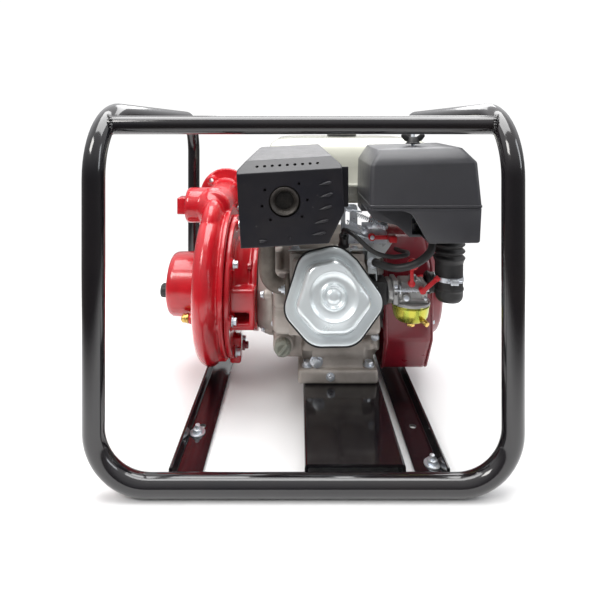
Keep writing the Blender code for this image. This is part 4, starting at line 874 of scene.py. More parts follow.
def dish_ring(radius, s):
    centre = Vector((0.003, 0.0))
    ring = []
    for p in COVER_LINE:
        q = centre + (p - centre).normalized() * radius
        ring.append(CYLINDER @ Vector((COVER_X + q.x, -s, q.y)))
    return ring


def rocker_cover():
    near = COVER_NEAR
    rim = [(0.0, 0.0), (0.0, 0.0024), (0.0004, 0.0031), (0.0012, 0.0034), (0.0128, 0.0036),
        (0.0138, 0.003), (0.0146, 0.003), (0.0153, 0.0042), (0.016, 0.012), (0.0168, 0.02),
        (0.0178, 0.024), (0.0194, 0.0266), (0.0214, 0.028), (0.024, 0.0286)]
    dish = [(0.04, 0.029), (0.0375, 0.0298), (0.0362, 0.03), (0.035, 0.0296), (0.0335, 0.0282),
        (0.03, 0.0262), (0.026, 0.025), (0.022, 0.0246), (0.0192, 0.025), (0.0181, 0.0264),
        (0.0174, 0.0284), (0.0166, 0.029), (0.0156, 0.0286), (0.0142, 0.0262), (0.0125, 0.025),
        (0.0105, 0.0252), (0.0085, 0.027), (0.006, 0.028), (0.003, 0.0283), (0.0006, 0.0284)]
    rings = [cover_ring(i, near + h) for i, h in rim] + [dish_ring(r, near + h) for r, h in dish]
    piece("rocker_cover_shell", COVER, ROOT, [loft(rings)], ["rocker_cover"], 50)
    gasket = [cover_ring(-0.0026, near - 0.0014), cover_ring(-0.0026, near - 0.0001),
        cover_ring(0.008, near - 0.0001), cover_ring(0.008, near - 0.0014)]
    piece("cover_gasket", RUBBER, ROOT, [loft(gasket + gasket[:1], caps=False)], ["rocker_gasket"])


# ------------------------------------------------------------ exhaust
SHIELD_LOW, SHIELD_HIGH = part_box("muffler_heat_shield")
OUTLET = Vector((-0.026, SHIELD_LOW.y, 0.361))
ROLL_CENTRE = Vector((-0.017, 0, 0.366))
SHIELD_LEAN = Matrix.Rotation(math.radians(-3.4), 4, "Y")
SHIELD_ROLL = Matrix.Translation(ROLL_CENTRE) @ SHIELD_LEAN @ Matrix.Translation(-ROLL_CENTRE)
SHIELD_HOLE_PITCH, SHIELD_HOLE_Z = 0.0109, 0.412
DIMPLE_CIRCLE_R = 0.0325
SCREEN_R, WIRE_PITCH, WIRE_R = 0.0125, 0.0022, 0.0004
LOUVRES = (((0.0425, 0.385), (0.0225, 0.3815)), ((0.0436, 0.3688), (0.0225, 0.364)),
           ((0.0408, 0.3512), (0.0205, 0.3462)), ((0.035, 0.3318), (0.0125, 0.3275)),
           ((0.03, 0.3144), (0.008, 0.3112)), ((-0.066, 0.307), (-0.053, 0.3075)),
           ((-0.0225, 0.3085), (-0.019, 0.3082)))     # head (x, z) and tail (x, z) of each


def shield_form(inset, bevel):
    """A box with its front top edge, its top corners and one bottom corner cut off."""
    low_x, high_x = SHIELD_LOW.x + inset, SHIELD_HIGH.x - inset
    front, back = SHIELD_LOW.y + inset, SHIELD_HIGH.y
    bottom, top = SHIELD_LOW.z, SHIELD_HIGH.z - inset
    side = [(front, bottom), (back, bottom), (back, top), (-0.1, top), (front + 0.019, 0.4205 - inset),
        (front, 0.4035 - inset / 2)]
    body = plate(side, low_x, high_x, "X")
    slope = 0.026
    face = [(low_x, bottom), (high_x - 0.025, bottom), (high_x, bottom + 0.044), (high_x, top - slope),
        (high_x - slope, top), (low_x + slope, top), (low_x, top - slope)]
    form = common(body, plate(face, front - 0.01, back + 0.01, "Y"))
    return soft_edges(form, bevel, 4, 18)


def louvre(head, tail, y):
    """A pressed drop, high and round at its head, running out at its tail."""
    head, tail = Vector((head[0], y, head[1])), Vector((tail[0], y, tail[1]))
    way = tail - head
    turn = way.to_track_quat("X", "Y").to_matrix().to_4x4()
    bm = bmesh.new()
    bmesh.ops.create_uvsphere(bm, u_segments=24, v_segments=12, radius=1.0)
    for vertex in bm.verts:
        share = (vertex.co.x + 1) / 2
        thin = (1 - share) ** 0.7
        vertex.co = Vector((vertex.co.x * way.length / 2, vertex.co.y * 0.0036 * thin,
            vertex.co.z * 0.0042 * (0.4 + 0.6 * thin)))
    upright = Matrix.Translation((head + tail) / 2) @ turn
    return shape(bm, upright)


def exhaust():
    shell = shield_form(0.0, 0.0032)
    inside = shield_form(0.0016, 0.002)
    low, high = SHIELD_LOW, SHIELD_HIGH
    below = block((low.x + 0.003, low.y + 0.003, low.z - 0.01),
        (high.x - 0.03, high.y + 0.01, low.z + 0.004))
    behind = block((low.x + 0.003, high.y - 0.004, low.z - 0.01),
        (high.x - 0.03, high.y + 0.01, high.z - 0.048))
    outlet_hole = rod(OUTLET + Vector((0, -0.012, 0)), OUTLET + Vector((0, 0.012, 0)), 0.0226, steps=56)
    shell = carve(shell, outlet_hole)
    cuts = [inside, below, behind]
    across = Vector((0.0, -0.665, 0.747))
    for k in range(9):
        centre = Vector((-0.0193 + SHIELD_HOLE_PITCH * (k - 4), low.y + 0.0095, SHIELD_HOLE_Z))
        cuts.append(rod(centre - across * 0.006, centre + across * 0.004, 0.00235, steps=18))
    for angle in (146, 188, 229, 48, 1, -44):
        turn = math.radians(angle)
        x, z = OUTLET.x + DIMPLE_CIRCLE_R * math.cos(turn), OUTLET.z + DIMPLE_CIRCLE_R * math.sin(turn)
        cuts.append(rod_y(low.y - 0.001, low.y + 0.0035, x, z, 0.0022, 0.0016, 16))
    pressed = [louvre(head, tail, low.y + 0.0004) for head, tail in LOUVRES]
    shell = carve(shell, *cuts)
    baffle = block((low.x + 0.016, low.y + 0.034, 0.388), (high.x - 0.032, low.y + 0.036, 0.415))
    shell = joined(shell, baffle, *pressed)
    shell.data.transform(SHIELD_ROLL)
    bracket = block((0.052, -0.124, 0.337), (0.0745, -0.1215, 0.402), 0.001)
    piece("heat_shield", MUFFLER_PAINT, ROOT, [shell, bracket], ["muffler_heat_shield"],
        30, True)
    y = OUTLET.y
    cup = lathe([(0.015, 0.0207), (0.0012, 0.0207), (0.0003, 0.0202), (0.0, 0.0194), (0.0008, 0.018),
        (0.004, 0.0148), (0.0075, 0.013), (0.015, 0.0122)], OUTLET, "Y", 56)
    piece("outlet_cup", BURNT, ROOT, [cup], angle=50)
    wires = [lathe([(0.0098, 0.0), (0.0098, 0.0128), (0.0103, 0.0128), (0.0103, 0.0)], OUTLET, "Y", 32,
        closed=False)]
    for k in range(-5, 6):
        offset = WIRE_PITCH * k
        half = math.sqrt(max(SCREEN_R ** 2 - offset ** 2, 0))
        wires.append(
            rod_x(OUTLET.x - half, OUTLET.x + half, y + 0.009, OUTLET.z + offset, WIRE_R, steps=6))
        wires.append(
            rod_z(OUTLET.z - half, OUTLET.z + half, OUTLET.x + offset, y + 0.0084, WIRE_R, steps=6))
    piece("spark_screen", SOOT, ROOT, wires)
    screws = []
    for x in (-0.075, 0.038):
        for z in (0.318, 0.388):
            screws += bolt((x, SHIELD_HIGH.y + 0.0005, z), (0, 1, 0), 0.009, 0.005)
    piece("shield_screws", ZINC, ROOT, screws)


# ------------------------------------------------------------ air cleaner
BASE_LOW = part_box("air_cleaner_base")[0]
FILTER_LOW, FILTER_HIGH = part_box("air_cleaner_cover")
STUD = Vector((0.17, -0.1585, FILTER_HIGH.z))


def rounded_ring(x0, x1, y0, y1, radius, lift, steps=6):
    """A rounded rectangle; lift(x, y) gives each point's height."""
    ring = []
    for cx, cy, start in ((x1 - radius, y1 - radius, 0), (x0 + radius, y1 - radius, 90),
            (x0 + radius, y0 + radius, 180), (x1 - radius, y0 + radius, 270)):
        for k in range(steps + 1):
            angle = math.radians(start + 90 * k / steps)
            x, y = cx + radius * math.cos(angle), cy + radius * math.sin(angle)
            ring.append(Vector((x, y, lift(x, y))))
    return ring


def air_cleaner():
    x0, y0, seam = FILTER_LOW
    x1, y1, top = FILTER_HIGH
    middle = (x0 + x1) / 2

    def level(z, lean=0.0, rise=0.0):
        return lambda x, y: z + lean * (x - middle) + rise * (y - y0)

    shoulder = top - 0.025
    rings = [rounded_ring(x0 - 0.0004, x1, y0, y1, 0.006, level(seam + 0.0004)),
        rounded_ring(x0 - 0.0004, x1, y0, y1, 0.006, level(seam + 0.0032)),
        rounded_ring(x0 + 0.0002, x1 - 0.0008, y0 + 0.0008, y1 - 0.0005, 0.006, level(seam + 0.004)),
        rounded_ring(x0 + 0.0015, x1 - 0.0062, y0 + 0.0022, y1 - 0.002, 0.006,
            level(shoulder - 0.0012, 0.03)),
        rounded_ring(x0 + 0.0021, x1 - 0.007, y0 + 0.0029, y1 - 0.0025, 0.006,
            level(shoulder + 0.001, 0.03)),
        rounded_ring(x0 + 0.0152, x1 - 0.021, y0 + 0.018, y1 - 0.007, 0.007,
            level(top - 0.0062, 0.026, 0.022)),
        rounded_ring(x0 + 0.017, x1 - 0.0232, y0 + 0.02, y1 - 0.0085, 0.007,
            level(top - 0.0052, 0.026, 0.022)),
        rounded_ring(x0 + 0.045, x1 - 0.05, y0 + 0.05, y1 - 0.035, 0.01, level(top - 0.004, 0.02, 0.014))]
    cover = loft(rings, caps=False)
    bm = bmesh.new()
    bm.from_mesh(cover.data)
    edges = [e for e in bm.edges if e.is_boundary and e.verts[0].co.z > top - 0.02]
    bmesh.ops.contextual_create(bm, geom=edges)
    bmesh.ops.recalc_face_normals(bm, faces=bm.faces)
    bm.to_mesh(cover.data)
    bm.free()
    wall = cover.modifiers.new("wall", "SOLIDIFY")
    wall.thickness = 0.0022
    wall.offset = -1
    cover = settled(cover)
    hole = rod_z(top - 0.03, top + 0.03, STUD.x, STUD.y, 0.004, steps=20)
    cover = carve(cover, hole)
    piece("filter_cover", PLASTIC, "filter_cover", [cover], ["air_cleaner_cover"], 26)

    low = BASE_LOW.z + 0.001
    front = [(x1 - 0.002, seam - 0.0003, 0.0), (x1 - 0.0045, low + 0.001, 0.004), (0.174, low, 0.003),
        (0.15, seam - 0.008, 0.012), (0.133, seam - 0.0022, 0.0), (0.133, seam - 0.0003, 0.0)]
    nose = plate(filleted(front, 5), y0 + 0.0012, -0.18, "Y", 0.0012, 2)
    rear_outline = [(x1 - 0.002, seam - 0.0003, 0.001), (x1 - 0.0045, low + 0.001, 0.004),
        (0.156, low, 0.003), (0.138, 0.322, 0.008), (x0 + 0.012, 0.33, 0.006),
        (x0 + 0.0012, seam - 0.01, 0.004), (x0 + 0.0012, seam - 0.0003, 0.001)]
    rear = plate(filleted(rear_outline, 6), -0.195, y1 - 0.001, "Y", 0.0016, 3)
    lip = loft([rounded_ring(x0 + 0.001, x1 - 0.001, y0 + 0.001, y1 - 0.001, 0.006,
        level(z)) for z in (seam - 0.004, seam - 0.0003)])
    well = block((0.15, y0 + 0.004, low + 0.004), (x1 - 0.008, y1 - 0.006, seam + 0.01))
    left = block((x0 + 0.0012, -0.13, 0.331), (0.13, y1 - 0.0015, seam - 0.001), 0.0016, 3)
    left_well = block((x0 + 0.004, -0.127, 0.334), (0.14, y1 - 0.004, seam + 0.01))
    base = carve(nose, well)
    trough = block((x0 + 0.01, -0.19, 0.338), (x1 - 0.008, y1 - 0.006, seam + 0.01))
    well_too = block((0.16, -0.196, low + 0.004), (x1 - 0.008, y1 - 0.006, seam + 0.01))
    lip_hole = block((x0 + 0.006, y0 + 0.006, seam - 0.02), (x1 - 0.006, y1 - 0.006, seam + 0.02))
    stud = [rod_z(low + 0.004, top + 0.015, STUD.x, STUD.y, 0.003, steps=20, bevel=0.0005),
        rod_z(low + 0.002, low + 0.014, STUD.x, STUD.y, 0.0085, steps=24)]
    piece("filter_base", PLASTIC, ROOT,
        [base, carve(rear, trough, well_too), carve(left, left_well), carve(lip, lip_hole)],
        ["air_cleaner_base"], 26)
    piece("filter_stud", ZINC, ROOT, stud)

    foot = top + 0.0003
    wings = [lathe([(foot, 0.0038), (foot, 0.011), (foot + 0.0014, 0.0112), (foot + 0.002, 0.0098),
        (foot + 0.009, 0.0072), (foot + 0.0105, 0.006), (foot + 0.0105, 0.0038)], (STUD.x, STUD.y, 0),
        "Z", 36)]
    for side in (-1, 1):
        wing = [(side * 0.005, foot + 0.002, 0.001), (side * 0.013, foot + 0.0045, 0.003),
            (side * 0.019, foot + 0.012, 0.003), (side * 0.015, foot + 0.0172, 0.004),
            (side * 0.0075, foot + 0.012, 0.004), (side * 0.0042, foot + 0.0095, 0.001)]
        outline = [(STUD.x + u, z) for u, z in filleted(wing, 5)]
        wings.append(plate(outline[::side], STUD.y - 0.0018, STUD.y + 0.0018, "Y", 0.0009, 2))
    piece("filter_wing_nut", RUBBER, "nut", wings, ["wing_nut"], 40)

    front, floor = -0.187, 0.34
    pleats = []
    for k in range(26):
        x = 0.124 + 0.0037 * k
        if x < x1 - 0.024:
            pleats.append(
                block((x, front + 0.002, floor), (x + 0.0022, y1 - 0.013, top - 0.016), 0.0008, 2))
    ends = [carve(block((0.121, front, z), (x1 - 0.022, y1 - 0.011, z + 0.004), 0.0012, 2),
        rod_z(z - 0.01, z + 0.01, STUD.x, STUD.y, 0.006)) for z in (floor - 0.0015, top - 0.018)]
    core = rod_z(low, top, STUD.x, STUD.y, 0.006)
    piece("filter_pleats", PAPER, ROOT, [carve(joined(*pleats), core)] + ends, ["filter_element"])


# ------------------------------------------------------------ shroud, plug and exhaust pipe
PLUG_LEAN = Vector((0.0, -0.25, 0.968))
PLUG_FOOT = along_cylinder(0.168, 0.066, 0.0605)


def shroud():
    near, far = 0.0995, 0.1815
    left, right, low, high, thick = BORE_X - 0.062, BORE_X + 0.076, -0.03, 0.066, 0.0013
    bent = plate(filleted([(left, high, 0.0), (left, high - thick, 0.0),
        (right - thick, high - thick, 0.0068), (right - thick, low, 0.0), (right, low, 0.0),
        (right, high, 0.008)], 6), -far, -near, "Y", matrix=CYLINDER)
    lip = tilted_block((BORE_X + 0.0625, right - 0.0005), (far - 0.002, far - 0.0005),
        (0.03, high - 0.0006), 0.0004, 2)
    side = 0.0205                  # half the square cut out for the carburettor's spacer
    port = block((0.108, -0.1335 - side, 0.207 - side), (0.122, -0.1335 + side, 0.207 + side), 0.003)
    hole = rod(PLUG_FOOT - PLUG_LEAN * 0.004, PLUG_FOOT + PLUG_LEAN * 0.03, 0.0125, steps=36)
    sheet = carve(joined(bent, lip), port, hole)
    rim = lathe([(-0.0006, 0.0122), (0.0016, 0.0122), (0.0018, 0.0134), (-0.0006, 0.0142)], (0, 0, 0),
        "Z", 40, Matrix.Translation(along_cylinder(0.1655, 0.066,
            0.0662)) @ Vector((0, -0.234, 0.972)).to_track_quat("Z", "Y").to_matrix().to_4x4())
    wing = plate(filleted([(0.0985, 0.25, 0.002), (0.1285, 0.253, 0.004), (0.14, 0.268, 0.012),
        (0.1515, 0.285, 0.008), (0.134, 0.2915, 0.014), (0.0985, 0.2925, 0.003)], 6), -0.118, -0.1168,
        "Y", 0.0004, 2)
    piece("shroud_sheet", ENAMEL, ROOT, [sheet, rim, wing], ["cylinder_shroud"], 30, True)
    heads = []
    for s, x in ((0.112, -0.01), (0.112, 0.09), (0.172, -0.014)):
        heads += bolt(along_cylinder(s, x, high + 0.0001), CYLINDER.to_3x3() @ Vector((0, 0, 1)), 0.0098,
            0.0052, 0.007)
    heads += bolt(along_cylinder(far + 0.0003, BORE_X + 0.0695, 0.046),
        CYLINDER.to_3x3() @ Vector((0, -1, 0)), 0.0105, 0.0058, 0.0085)
    piece("shroud_bolts", ZINC, ROOT, heads, angle=40)


def spark_plug_parts():
    foot, lean = PLUG_FOOT, PLUG_LEAN
    plug = [hexagon(foot + lean * 0.0062, foot + lean * 0.0118, 0.0176),
        rod(foot + lean * 0.01, foot + lean * 0.0255, 0.0049, 0.004, 24)]
    piece("plug_body", CERAMIC, ROOT, plug, ["spark_plug"], 40)
    turn = Matrix.Translation(foot) @ lean.to_track_quat("Z", "Y").to_matrix().to_4x4()
    boot = lathe([(0.0126, 0.0056), (0.0126, 0.0084), (0.014, 0.0088), (0.016, 0.0082), (0.0175, 0.0076),
        (0.02, 0.0074), (0.025, 0.0072), (0.03, 0.0078), (0.0325, 0.0076), (0.0332, 0.0062),
        (0.0332, 0.0012), (0.0268, 0.0052)], (0, 0, 0), "Z", 40, turn)
    tab = block((-0.0025, -0.0125, 0.02), (0.0025, -0.005, 0.031), 0.0012, 3, turn)
    sleeve = tube(smooth(
        [foot + lean * 0.033, foot + lean * 0.0362, foot + lean * 0.0385 + Vector((0.002, -0.001, 0))],
        12), 0.0046, 6)
    piece("plug_boot", RUBBER, ROOT, [boot, tab, sleeve], ["plug_cap"], 40)
    top = foot + lean * 0.0355
    line = smooth([top, top + lean * 0.005, (0.078, -0.166, 0.302), (0.104, -0.181, 0.281),
        (0.13, -0.182, 0.273), (0.156, -0.168, 0.271), (0.166, -0.14, 0.268), (0.164, -0.11, 0.262),
        (0.16, -0.076, 0.257)], 120)
    lead = tube(line, 0.0035, 6)
    rings = [tube(line[k:k + 3], 0.004, 5) for k in (20, 112)]
    piece("plug_lead", RUBBER, ROOT, [lead] + rings, ["ignition_lead"], 50)


def exhaust_pipe():
    port = along_cylinder(0.166, BORE_X - 0.0603, 0.01)
    corner = port + Vector((-0.035, 0, 0))
    line = route([port, corner, (corner.x, corner.y, 0.3055)], (0.025,), 24)
    bends = [tube(line, 0.0128, 10)]
    low, high = port + Vector((-0.0065, 0, 0)), port
    bends.append(rod(low, high, 0.0205, steps=40, bevel=0.0012))
    bends.append(rod_z(0.2985, 0.3052, corner.x, corner.y, 0.019, steps=40, bevel=0.0012))
    melted = casting(joined(*bends), 0.0013, 3, 0.35)
    piece("exhaust_bend", IRON, ROOT, [melted], ["exhaust_pipe"], 45)
    nuts = []
    for y in (-0.0155, 0.0155):
        nuts += bolt(low + Vector((0, y, 0)), (-1, 0, 0), 0.01, 0.006, 0.0072, 0.004)
    piece("exhaust_nuts", ZINC, ROOT, nuts, angle=40)
    can = block((-0.0835, -0.2065, 0.3065), (0.0315, -0.0845, 0.3955), 0.0145, 5)
    inside = block((-0.0815, -0.2045, 0.3085), (0.0295, -0.0865, 0.3935), 0.0115, 3)
    bores = [rod_y(-0.225, -0.17, OUTLET.x, 0.36, 0.012, steps=40) for _ in range(2)]
    stub = rod_y(-0.206, -0.196, OUTLET.x, 0.36, 0.015, steps=40)
    piece("muffler_can", BURNT, ROOT, [carve(can, inside, bores[0]), carve(stub, bores[1])], ["muffler"],
        30)


# ------------------------------------------------------------ fuel tank
TANK_LOW, TANK_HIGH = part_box("fuel_tank")
CAP = Vector((0.085, 0.11, 0.445))


def fuel_tank():
    x0, y0, x1, y1 = *TANK_LOW.xy, *TANK_HIGH.xy

    def ring(inset, z, radius):
        return rounded_ring(x0 + inset, x1 - inset, y0 + inset, y1 - inset, radius, lambda x, y: z, 12)

    seam = 0.364
    upper = [(0.0, seam - 0.0018, 0.03), (0.0, seam + 0.0014, 0.03), (0.0006, seam + 0.0022, 0.03),
        (0.0048, seam + 0.0026, 0.028), (0.0058, seam + 0.004, 0.027), (0.0062, 0.395, 0.027),
        (0.007, 0.412, 0.027), (0.0095, 0.425, 0.029), (0.015, 0.436, 0.032), (0.024, 0.4422, 0.036),
        (0.036, 0.4444, 0.04), (0.05, 0.4449, 0.04)]
    lower = [(0.0, seam - 0.0018, 0.03), (0.0048, seam - 0.0024, 0.028), (0.0062, seam - 0.004, 0.027),
        (0.007, 0.345, 0.027), (0.011, 0.335, 0.027), (0.019, 0.3308, 0.028), (0.03, 0.3302, 0.03)]
    shell = loft([ring(i, z, r) for i, z, r in lower[::-1] + upper])
    hole = rod_z(0.415, 0.46, CAP.x, CAP.y, 0.0216, steps=56)
    hollow = block((x0 + 0.012, y0 + 0.012, 0.334), (x1 - 0.012, y1 - 0.012, 0.433), 0.022, 4)
    shell = carve(shell, hollow, hole)
    neck = lathe([(0.438, 0.0215), (0.4452, 0.0215), (0.4452, 0.024), (0.444, 0.03), (0.443, 0.031),
        (0.44, 0.029)], (CAP.x, CAP.y, 0), "Z", 56)
    piece("tank_shell", TANK_PAINT, ROOT, [shell, neck], ["fuel_tank"], 40)
    feet = []
    for x, y in ((x0 + 0.03, y0 + 0.012), (x1 - 0.03, y0 + 0.012), (x0 + 0.03, y1 - 0.012),
            (x1 - 0.03, y1 - 0.012)):
        feet += bolt((x, y, seam - 0.0022), (0, 0, -1), 0.0098, 0.007, 0.0075)
    piece("tank_bolts", ZINC, ROOT, feet, angle=40)
    base = CAP.z + 0.0003
    profile = [(base - 0.0098, 0.0), (base - 0.0098, 0.0213), (base, 0.0214), (base, 0.03),
        (base + 0.002, 0.0304), (base + 0.0125, 0.0292), (base + 0.015, 0.028), (base + 0.0164, 0.0256),
        (base + 0.015, 0.024), (base + 0.016, 0.019), (base + 0.018, 0.012), (base + 0.0188, 0.0)]
    cap = [lathe(profile, (CAP.x, CAP.y, 0), "Z", 72, closed=False)]
    for k in range(30):
        turn = Matrix.Translation((CAP.x, CAP.y, 0)) @ Matrix.Rotation(2 * math.pi * k / 30, 4, "Z")
        cap.append(
            block((0.028, -0.0013, base + 0.0008), (0.0303, 0.0013, base + 0.0132), 0.0007, 2, turn))
    bar = block((CAP.x - 0.022, CAP.y - 0.0032, base + 0.014),
        (CAP.x + 0.022, CAP.y + 0.0032, base + 0.019), 0.0016, 3)
    piece("tank_cap", RUBBER, "fuel_cap", cap + [bar], ["fuel_cap"], 40)


# ------------------------------------------------------------ carburettor, its intake and controls
CARB_Y, CARB_Z, BOWL_X = -0.1335, 0.207, 0.172
ELBOW = Vector((0.228, -0.15, 0.0))


def carburettor():
    spacer = block((0.1008, CARB_Y - 0.0182, CARB_Z - 0.0182), (0.1328, CARB_Y + 0.0182, CARB_Z + 0.0182),
        0.0022, 3)
    grooves = [block((x, CARB_Y - 0.03, CARB_Z - 0.03),
        (x + 0.0012, CARB_Y - 0.0172, CARB_Z + 0.03)) for x in (0.1085, 0.1165, 0.1245)]
    passage = rod_x(0.095, 0.14, CARB_Y, CARB_Z, 0.0115, steps=40)
    piece("insulator_block", RUBBER, ROOT, [carve(spacer, passage, *grooves)], ["carburettor_insulator"],
        30)
    front = CARB_Y - 0.0195
    throat = rod_x(0.144, 0.195, CARB_Y, CARB_Z, 0.017, steps=48, bevel=0.0015)
    flange = plate(filleted([(CARB_Y - 0.025, CARB_Z - 0.006, 0.005),
        (CARB_Y - 0.025, CARB_Z + 0.006, 0.005), (CARB_Y - 0.01, CARB_Z + 0.0185, 0.008),
        (CARB_Y + 0.01, CARB_Z + 0.0185, 0.008), (CARB_Y + 0.025, CARB_Z + 0.006, 0.005),
        (CARB_Y + 0.025, CARB_Z - 0.006, 0.005), (CARB_Y + 0.01, CARB_Z - 0.0185, 0.008),
        (CARB_Y - 0.01, CARB_Z - 0.0185, 0.008)], 6), 0.1334, 0.14, "X", 0.0008, 2)
    left = block((0.1405, front - 0.0015, CARB_Z - 0.017), (0.149, CARB_Y + 0.014, CARB_Z + 0.021),
        0.0018, 3)
    right = block((0.188, front + 0.003, CARB_Z - 0.015), (0.1948, CARB_Y + 0.014, CARB_Z + 0.017),
        0.0018, 3)
    tower = block((BOWL_X - 0.019, CARB_Y - 0.017, CARB_Z - 0.017),
        (BOWL_X + 0.015, CARB_Y + 0.017, CARB_Z + 0.018), 0.003, 3)
    pilot = rod_y(front + 0.004, front - 0.002, BOWL_X - 0.011, CARB_Z - 0.006, 0.0062, steps=32,
        bevel=0.001)
    shelf = block((BOWL_X - 0.025, front + 0.001, CARB_Z - 0.015),
        (BOWL_X + 0.023, CARB_Y + 0.015, CARB_Z - 0.0095), 0.0012)
    post = rod_z(CARB_Z + 0.01, CARB_Z + 0.0255, BOWL_X + 0.002, CARB_Y - 0.005, 0.006, steps=28,
        bevel=0.001)
    rim = lathe(
        [(0.1876, 0.0), (0.1876, 0.03), (0.188, 0.0306), (0.1912, 0.0306), (0.192, 0.0298), (0.192, 0.0)],
        (BOWL_X, CARB_Y, 0), "Z", 64, closed=False)
    soft = casting(joined(throat, left, right, tower, pilot, shelf, post), 0.0009, 2, 0.35)
    bore = rod_x(0.13, 0.2, CARB_Y, CARB_Z, 0.012, steps=40)
    jet = rod_y(front - 0.004, front + 0.002, 0.1448, CARB_Z + 0.001, 0.0024, steps=24)
    flange_bore = rod_x(0.13, 0.142, CARB_Y, CARB_Z, 0.012, steps=40)
    piece("carburettor_casting", DIE_CAST, ROOT,
        [carve(soft, bore, jet), carve(flange, flange_bore), rim], ["carburettor"], 40)
    screws = []
    for x, z, radius in ((BOWL_X - 0.011, CARB_Z - 0.006, 0.0042), (0.1448, CARB_Z + 0.0125, 0.0028),
            (0.1915, CARB_Z + 0.01, 0.0026), (0.1915, CARB_Z - 0.008, 0.0026)):
        y = front - 0.0018 if x < 0.18 else front + 0.003
        head = rod_y(y, y - 0.0022, x, z, radius, steps=24, bevel=0.0005)
        slot = block((x - radius, y - 0.003, z - 0.0004), (x + radius, y - 0.0014, z + 0.0004))
        screws.append(carve(head, slot))
    rail_z = CARB_Z + 0.0068
    screws.append(rod_x(0.142, 0.195, front - 0.0045, rail_z, 0.0016, steps=16, bevel=0.0003))
    screws.append(
        block((0.15, front - 0.0062, rail_z - 0.005), (0.1516, front + 0.004, rail_z + 0.007), 0.0005))
    spring, spring_r = [], 0.0031
    for k in range(61):
        turn = 2 * math.pi * k / 10
        spring.append((0.154 + 0.0012 * k / 3.2, front - 0.0045 + spring_r * math.cos(turn),
            rail_z + spring_r * math.sin(turn)))
    screws.append(tube(spring, 0.0005, 3))
    piece("carburettor_screws", ZINC, ROOT, screws, angle=40)
    bowl = lathe([(0.1874, 0.0), (0.1874, 0.0296), (0.1868, 0.03), (0.1846, 0.03), (0.1836, 0.0288),
        (0.176, 0.0282), (0.168, 0.0268), (0.163, 0.024), (0.1606, 0.0205), (0.16, 0.016), (0.159, 0.015),
        (0.159, 0.0)], (BOWL_X, CARB_Y, 0), "Z", 72, closed=False)
    piece("bowl_pressing", CHROMATE, ROOT, [bowl], ["float_bowl"], 40)
    z = 0.1586
    nut = [rod_z(z, z - 0.0012, BOWL_X, CARB_Y, 0.0085, steps=32, bevel=0.0004),
        hexagon((BOWL_X, CARB_Y, z - 0.001), (BOWL_X, CARB_Y, 0.1502), 0.0118)]
    piece("bowl_nut", BRASS, ROOT, nut, ["bowl_bolt"], 40)
    drain = [rod((BOWL_X + 0.012, CARB_Y - 0.023, 0.168), (BOWL_X + 0.0165, CARB_Y - 0.0315, 0.166),
            0.0042, steps=24, bevel=0.0005),
        hexagon((BOWL_X + 0.016, CARB_Y - 0.0305, 0.1662), (BOWL_X + 0.0178, CARB_Y - 0.034, 0.1654),
            0.0078)]
    piece("bowl_drain", BRASS, ROOT, drain, angle=40)


def intake_elbow():
    low, high = 0.196, BASE_LOW.z - 0.0004
    top = [(high - 0.004, 0.0216), (high, 0.021), (high, 0.0)]
    bellows = []
    for k in range(37):
        z = 0.264 + (high - 0.008 - 0.264) * k / 36
        bellows.append((z, 0.0222 + 0.0022 * math.cos(2 * math.pi * 3 * k / 36)))
    riser = lathe([(low, 0.0), (low, 0.014), (low + 0.0012, 0.0172), (low + 0.0048, 0.02),
        (low + 0.009, 0.021), (0.214, 0.0212), (0.2148, 0.0222), (0.218, 0.0222), (0.2188, 0.0212),
        (0.256, 0.0212), (0.26, 0.0226)] + bellows + top, ELBOW, "Z", 72, closed=False)
    mouth = rod_x(0.1955, ELBOW.x, CARB_Y, CARB_Z + 0.012, 0.016, steps=48, bevel=0.0012)
    cuff = rod_x(0.1975, 0.202, CARB_Y, CARB_Z + 0.012, 0.0178, steps=48, bevel=0.0012)
    body = casting(joined(riser, mouth, cuff), 0.0009, 1, 0.3)
    bore = rod_z(low + 0.006, high + 0.01, ELBOW.x, ELBOW.y, 0.015, steps=40)
    entry = rod_x(0.19, ELBOW.x, CARB_Y, CARB_Z + 0.012, 0.0105, steps=40)
    piece("elbow_moulding", RUBBER, ROOT, [carve(body, bore, entry)], ["intake_elbow"], 45)
    clip = [lathe([(0.229, 0.0214), (0.229, 0.0222), (0.236, 0.0222), (0.236, 0.0214)], ELBOW, "Z", 72),
        block((ELBOW.x - 0.006, ELBOW.y - 0.0295, 0.2285), (ELBOW.x + 0.006, ELBOW.y - 0.0205, 0.2365),
            0.001)]
    clip.append(rod_x(ELBOW.x - 0.011, ELBOW.x + 0.012, ELBOW.y - 0.0255, 0.2325, 0.0017, steps=16))
    piece("elbow_clip", ZINC, ROOT, clip, angle=40)


def coiled(start, end, radius, turns):
    """The line of a coil spring from one point to another."""
    steps = 14
    start, end = Vector(start), Vector(end)
    turn = (end - start).to_track_quat("Z", "Y")
    line = []
    for k in range(turns * steps + 1):
        angle = 2 * math.pi * k / steps
        around = Vector((radius * math.cos(angle), radius * math.sin(angle), 0))
        line.append(start.lerp(end, k / (turns * steps)) + turn @ around)
    return line


